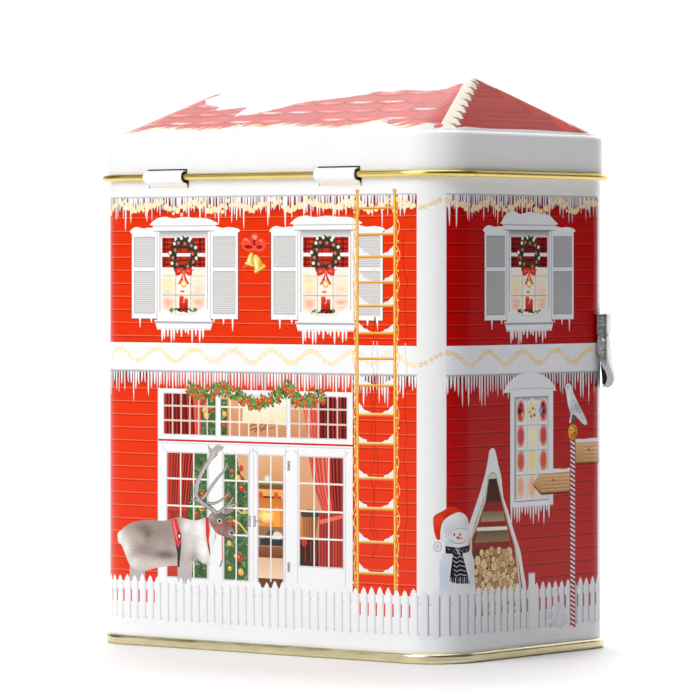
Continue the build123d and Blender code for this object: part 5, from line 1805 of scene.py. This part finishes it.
def ink_material():
    """Varnished print that takes its colours from the ink on each face."""
    m, nt, bsdf = new_material("printed_ink")
    where = nt.nodes.new("ShaderNodeTexCoord").outputs["Object"]
    strength, _ = varnish_surface(nt, bsdf, where)
    ink = nt.nodes.new("ShaderNodeVertexColor")
    ink.layer_name = "ink"
    scaled = nt.nodes.new("ShaderNodeVectorMath")
    scaled.operation = "SCALE"
    nt.links.new(ink.outputs["Color"], scaled.inputs[0])
    nt.links.new(strength, scaled.inputs["Scale"])
    nt.links.new(scaled.outputs["Vector"], bsdf.inputs["Base Color"])
    return m


def enamel_material(name, centre, metal_mask, tongues=False):
    """White varnish on faces turned away from centre, gold on the others and where metal_mask is 1."""
    m, nt, bsdf = new_material(name)
    coords = nt.nodes.new("ShaderNodeTexCoord")
    where = coords.outputs["Object"]
    strength, wear = varnish_surface(nt, bsdf, where)
    split = nt.nodes.new("ShaderNodeSeparateXYZ")
    nt.links.new(where, split.inputs[0])

    def faces_away(middle, keep=(1, 1, 1)):
        away = vector(nt, "SUBTRACT", where, middle)
        return vector(
            nt, "DOT_PRODUCT", vector(nt, "MULTIPLY", away, keep), coords.outputs["Normal"], "Value",
        )

    away = faces_away(tuple(v * MM for v in centre))
    if tongues:
        # the tongues wrap round the lid's curl: their outside is away from the hinge's axis
        tongue = maths(nt, "LESS_THAN", split.outputs["Y"], -(HALF_D + 0.03) * MM)
        wrapped = maths(nt, "MULTIPLY", faces_away(HINGE, (0, 1, 1)), tongue)
        away = maths(nt, "ADD", maths(nt, "MULTIPLY", away, maths(nt, "SUBTRACT", 1.0, tongue)), wrapped)
    inside = maths(nt, "LESS_THAN", away, 0.0)
    gold = maths(nt, "MAXIMUM", inside, metal_mask(nt, split), True)
    streak = metal_surface(nt, where, (0.08, 1.0, 1.0))
    white = nt.nodes.new("ShaderNodeVectorMath")
    white.operation = "SCALE"
    white.inputs[0].default_value = linear(WHITE)
    nt.links.new(strength, white.inputs["Scale"])
    lacquer = mix(
        nt, ramp(nt, streak, 0.35, 0.65, 0.0, 1.0), linear((222, 198, 112)), linear((232, 209, 130)),
    )
    nt.links.new(mix(nt, gold, white.outputs["Vector"], lacquer), bsdf.inputs["Base Color"])
    nt.links.new(gold, bsdf.inputs["Metallic"])
    rough = ramp(nt, wear, 0.3, 0.7, 0.16, 0.24)
    rough_gold = ramp(nt, streak, 0.3, 0.7, 0.29, 0.37)
    n = nt.nodes.new("ShaderNodeMix")
    nt.links.new(gold, n.inputs[0])
    nt.links.new(rough, n.inputs[2])
    nt.links.new(rough_gold, n.inputs[3])
    nt.links.new(n.outputs[0], bsdf.inputs["Roughness"])
    return m


def gold_material():
    """Gold lacquered sheet, a little tarnished."""
    m, nt, bsdf = new_material("gold_lacquer")
    where = nt.nodes.new("ShaderNodeTexCoord").outputs["Object"]
    streak = metal_surface(nt, where, (0.12, 0.12, 1.0))
    patch = noise(nt, where, 70.0, 4.0, 0.6)
    colour = mix(
        nt, ramp(nt, streak, 0.35, 0.65, 0.0, 1.0), linear((224, 212, 166)), linear((240, 232, 198)),
    )
    tarnish = mix(nt, ramp(nt, patch, 0.45, 0.75, 0.0, 0.5), colour, linear((206, 188, 128)))
    nt.links.new(tarnish, bsdf.inputs["Base Color"])
    bsdf.inputs["Metallic"].default_value = 1.0
    nt.links.new(ramp(nt, streak, 0.3, 0.7, 0.25, 0.40), bsdf.inputs["Roughness"])
    low = bump(nt, noise(nt, where, 60.0, 2.0, 0.5), 0.25, 0.0006)
    nt.links.new(bump(nt, streak, 0.2, 0.00003, low), bsdf.inputs["Normal"])
    return m


def pewter_material(name, tone_low, tone_high, grain, rough, clasp=None):
    """Granular cast metal. On the clasp, a painted highlight makes the outer rim pale and less metallic, a
    dark line inside it is painted shade, and on the lever the recess in the tail is painted near black as
    painted shade.
    """
    m, nt, bsdf = new_material(name)
    where = nt.nodes.new("ShaderNodeTexCoord").outputs["Object"]
    pits = noise(nt, where, grain, 5.0, 0.7)
    cloud = noise(nt, where, grain / 5, 3.0, 0.6)
    cells = nt.nodes.new("ShaderNodeTexVoronoi")
    cells.inputs["Scale"].default_value = grain * 0.9
    nt.links.new(where, cells.inputs["Vector"])
    colour = mix(nt, ramp(nt, cloud, 0.35, 0.65, 0.0, 1.0), linear(tone_low), linear(tone_high))
    colour = mix(nt, ramp(nt, pits, 0.5, 0.72, 0.0, 0.8), colour, linear(tint(tone_low, 0.5)))
    if clasp:
        from_pin = vector(nt, "SUBTRACT", where, PIVOT)
        across = vector(nt, "DOT_PRODUCT", from_pin, tuple(v / MM for v in OUTWARDS), "Value")
        drop = vector(nt, "DOT_PRODUCT", from_pin, (0, 0, -1 / MM), "Value")
        # painted highlight: the outer rim is made pale and less metallic, for the light on the clasp's
        # outer face
        rim = ramp(nt, maths(nt, "ADD", across, maths(nt, "MULTIPLY", cloud, 0.4)), 0.85, 1.25, 0.0, 1.0)
        # painted shade: a dark line just inside the pale rim, where the side meets the outer face
        groove = maths(
            nt, "MULTIPLY", ramp(nt, across, 0.25, 0.6, 0.0, 0.75), ramp(nt, across, 0.65, 0.95, 1.0, 0.0),
        )
        colour = mix(nt, groove, colour, linear((70, 68, 68)))
        if clasp == "lever":
            # the lever's tail gets the same painted highlight
            tail = ramp(nt, drop, 5.0, 8.0, 0.0, 1.0)
            rim = maths(nt, "MAXIMUM", rim, tail)
            # painted shade: the recess inside the lever's tail is painted near black and not metallic
            bow_out = maths(nt, "POWER", maths(nt, "ABSOLUTE", maths(nt, "SUBTRACT", drop, 10.7)), 2.0)
            edge = maths(nt, "SUBTRACT", 1.0, maths(nt, "MULTIPLY", bow_out, 0.13))
            painted_recess_shade = maths(nt, "LESS_THAN", maths(nt, "SUBTRACT", across, edge), 0.0)
            painted_recess_shade = maths(nt, "MULTIPLY", painted_recess_shade, ramp(nt, drop, 6.4, 7.0, 0.0, 1.0))
        colour = mix(nt, rim, colour, linear((228, 227, 230)))
        metal = maths(nt, "SUBTRACT", 1.0, maths(nt, "MULTIPLY", rim, 0.6))
        if clasp == "lever":
            colour = mix(nt, painted_recess_shade, colour, linear((26, 23, 22)))
            metal = maths(nt, "MULTIPLY", metal, maths(nt, "SUBTRACT", 1.0, painted_recess_shade))
        nt.links.new(metal, bsdf.inputs["Metallic"])
    else:
        bsdf.inputs["Metallic"].default_value = 1.0
    nt.links.new(colour, bsdf.inputs["Base Color"])
    nt.links.new(ramp(nt, pits, 0.3, 0.7, rough - 0.08, rough + 0.12), bsdf.inputs["Roughness"])
    first = bump(nt, cells.outputs["Distance"], 0.25, 0.0002)
    nt.links.new(bump(nt, pits, 0.4, 0.00014, first), bsdf.inputs["Normal"])
    return m


CURL_HEIGHT = 0.00192  # of the lid's rolled edge, in metres


def no_metal(nt, split):
    """Nothing more than the inside is bare."""
    return maths(nt, "MULTIPLY", split.outputs["Z"], 0.0)


def curl_metal(nt, split):
    """The lid's rolled edge is bare lacquered sheet."""
    return maths(nt, "LESS_THAN", split.outputs["Z"], lid_low[2] + CURL_HEIGHT)


CAST = ((158, 156, 154), (226, 224, 222), 1000.0, 0.32)  # darkest and lightest tone, grain, roughness
ink = ink_material()
finishes = {
    "body_wall": enamel_material("wall_enamel", (0, 0, 70), no_metal, True),
    "lid": enamel_material("lid_enamel", (0, 0, 120), curl_metal), "bottom_panel": gold_material(),
    "clasp_base": pewter_material("cast_pewter", *CAST, "base"),
    "clasp_lever": pewter_material("cast_pewter_lever", *CAST, "lever"),
    "clasp_pin": pewter_material("pin_steel", (232, 232, 234), (248, 248, 250), 1600.0, 0.3),
    "clasp_rivets": pewter_material("rivet_steel", (190, 190, 192), (224, 224, 226), 1600.0, 0.22),
}
for name, finish in finishes.items():
    ob = frame["nodes"][name]
    ob.data.materials.clear()
    ob.data.materials.append(finish)

pieces = [(name, draw().mesh(name, on_wall(middle)), "tin_body") for name, draw, middle in SHEETS]
pieces.append(("print_roof", roof_print().mesh("print_roof", on_roof), "lid"))
for name, ob, body in pieces:
    ob.data.materials.append(ink)
    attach(ob, body)


# ---------------------------------------------------------------- floor, light and camera
VIEW_YAW = math.radians(38.17)  # the camera looks this far round from +Y towards -X
FLOOR_FRONT, BEND_AT, BEND_R = -2.4, 0.9, 0.8  # the floor bends up into the backdrop behind the tin
FLOOR_HALF, BACKDROP_TOP = 3.0, 2.6


def floor_sheet():
    """Pale floor that curves up into a backdrop behind the tin, as seen by the camera."""
    back = Vector((-math.sin(VIEW_YAW), math.cos(VIEW_YAW), 0))
    side = Vector((math.cos(VIEW_YAW), math.sin(VIEW_YAW), 0))
    profile = [(FLOOR_FRONT, 0.0), (BEND_AT, 0.0)]
    for i in range(1, 13):
        a = math.pi / 2 * i / 12
        profile.append((BEND_AT + BEND_R * math.sin(a), BEND_R * (1 - math.cos(a))))
    profile.append((BEND_AT + BEND_R, BACKDROP_TOP))
    verts, faces = [], []
    for d, z in profile:
        for s in (-FLOOR_HALF, FLOOR_HALF):
            verts.append(back * d + side * s + Vector((0, 0, z)))
    for i in range(len(profile) - 1):
        faces.append((2 * i, 2 * i + 1, 2 * i + 3, 2 * i + 2))
    me = bpy.data.meshes.new("floor")
    me.from_pydata(verts, [], faces)
    me.polygons.foreach_set("use_smooth", [True] * len(me.polygons))
    ob = bpy.data.objects.new("floor", me)
    bpy.context.scene.collection.objects.link(ob)
    m, nt, bsdf = new_material("floor_paper")
    where = nt.nodes.new("ShaderNodeTexCoord").outputs["Object"]
    colour = mix(nt, noise(nt, where, 3.0), (0.94, 0.94, 0.94), (0.96, 0.96, 0.96))
    nt.links.new(colour, bsdf.inputs["Base Color"])
    bsdf.inputs["Roughness"].default_value = 0.6
    # clear from behind, so that a camera that stands back from the tin on that side sees it too
    behind = nt.nodes.new("ShaderNodeNewGeometry").outputs["Backfacing"]
    nt.links.new(maths(nt, "SUBTRACT", 1.0, behind), bsdf.inputs["Alpha"])
    me.materials.append(m)


def lamp(name, place, target, size, power):
    """Soft rectangular light that faces the target."""
    data = bpy.data.lights.new(name, "AREA")
    data.shape = "RECTANGLE"
    data.size, data.size_y = size
    data.energy = power
    ob = bpy.data.objects.new(name, data)
    ob.location = place
    ob.rotation_euler = (Vector(target) - Vector(place)).to_track_quat("-Z", "Y").to_euler()
    bpy.context.scene.collection.objects.link(ob)


def studio():
    """Soft key from the left front, a light overhead and two on the backdrop, in a dim white room."""
    world = bpy.data.worlds.new("studio")
    world.use_nodes = True
    world.node_tree.nodes["Background"].inputs["Color"].default_value = (1, 1, 1, 1)
    world.node_tree.nodes["Background"].inputs["Strength"].default_value = 0.03
    bpy.context.scene.world = world
    lamp("key", (-0.2, -1.15, 0.85), (0, 0, 0.06), (0.9, 0.9), 13.9)
    lamp("overhead", (0.0, 0.1, 1.3), (0, 0, 0), (1.0, 1.0), 9.5)
    lamp("backdrop_right", (0.5, 1.9, 1.2), (0.25, 2.35, 0.3), (0.8, 0.8), 14)
    lamp("backdrop", (-0.5, 0.7, 1.5), (-0.9, 1.3, 0.2), (0.8, 0.8), 20)
    bpy.context.scene.view_settings.view_transform = "Standard"


def camera():
    """Long lens, level, on the corner between the hinge wall and the right end."""
    data = bpy.data.cameras.new("camera")
    data.sensor_width = 36.0
    data.lens = 231.9
    data.shift_y = -0.116
    data.clip_start, data.clip_end = 0.05, 20.0
    ob = bpy.data.objects.new("camera", data)
    ob.location = (0.78876, -1.00505, 0.1063)
    ob.rotation_euler = (math.pi / 2, 0, VIEW_YAW)
    bpy.context.scene.collection.objects.link(ob)
    bpy.context.scene.camera = ob


floor_sheet()
studio()
camera()
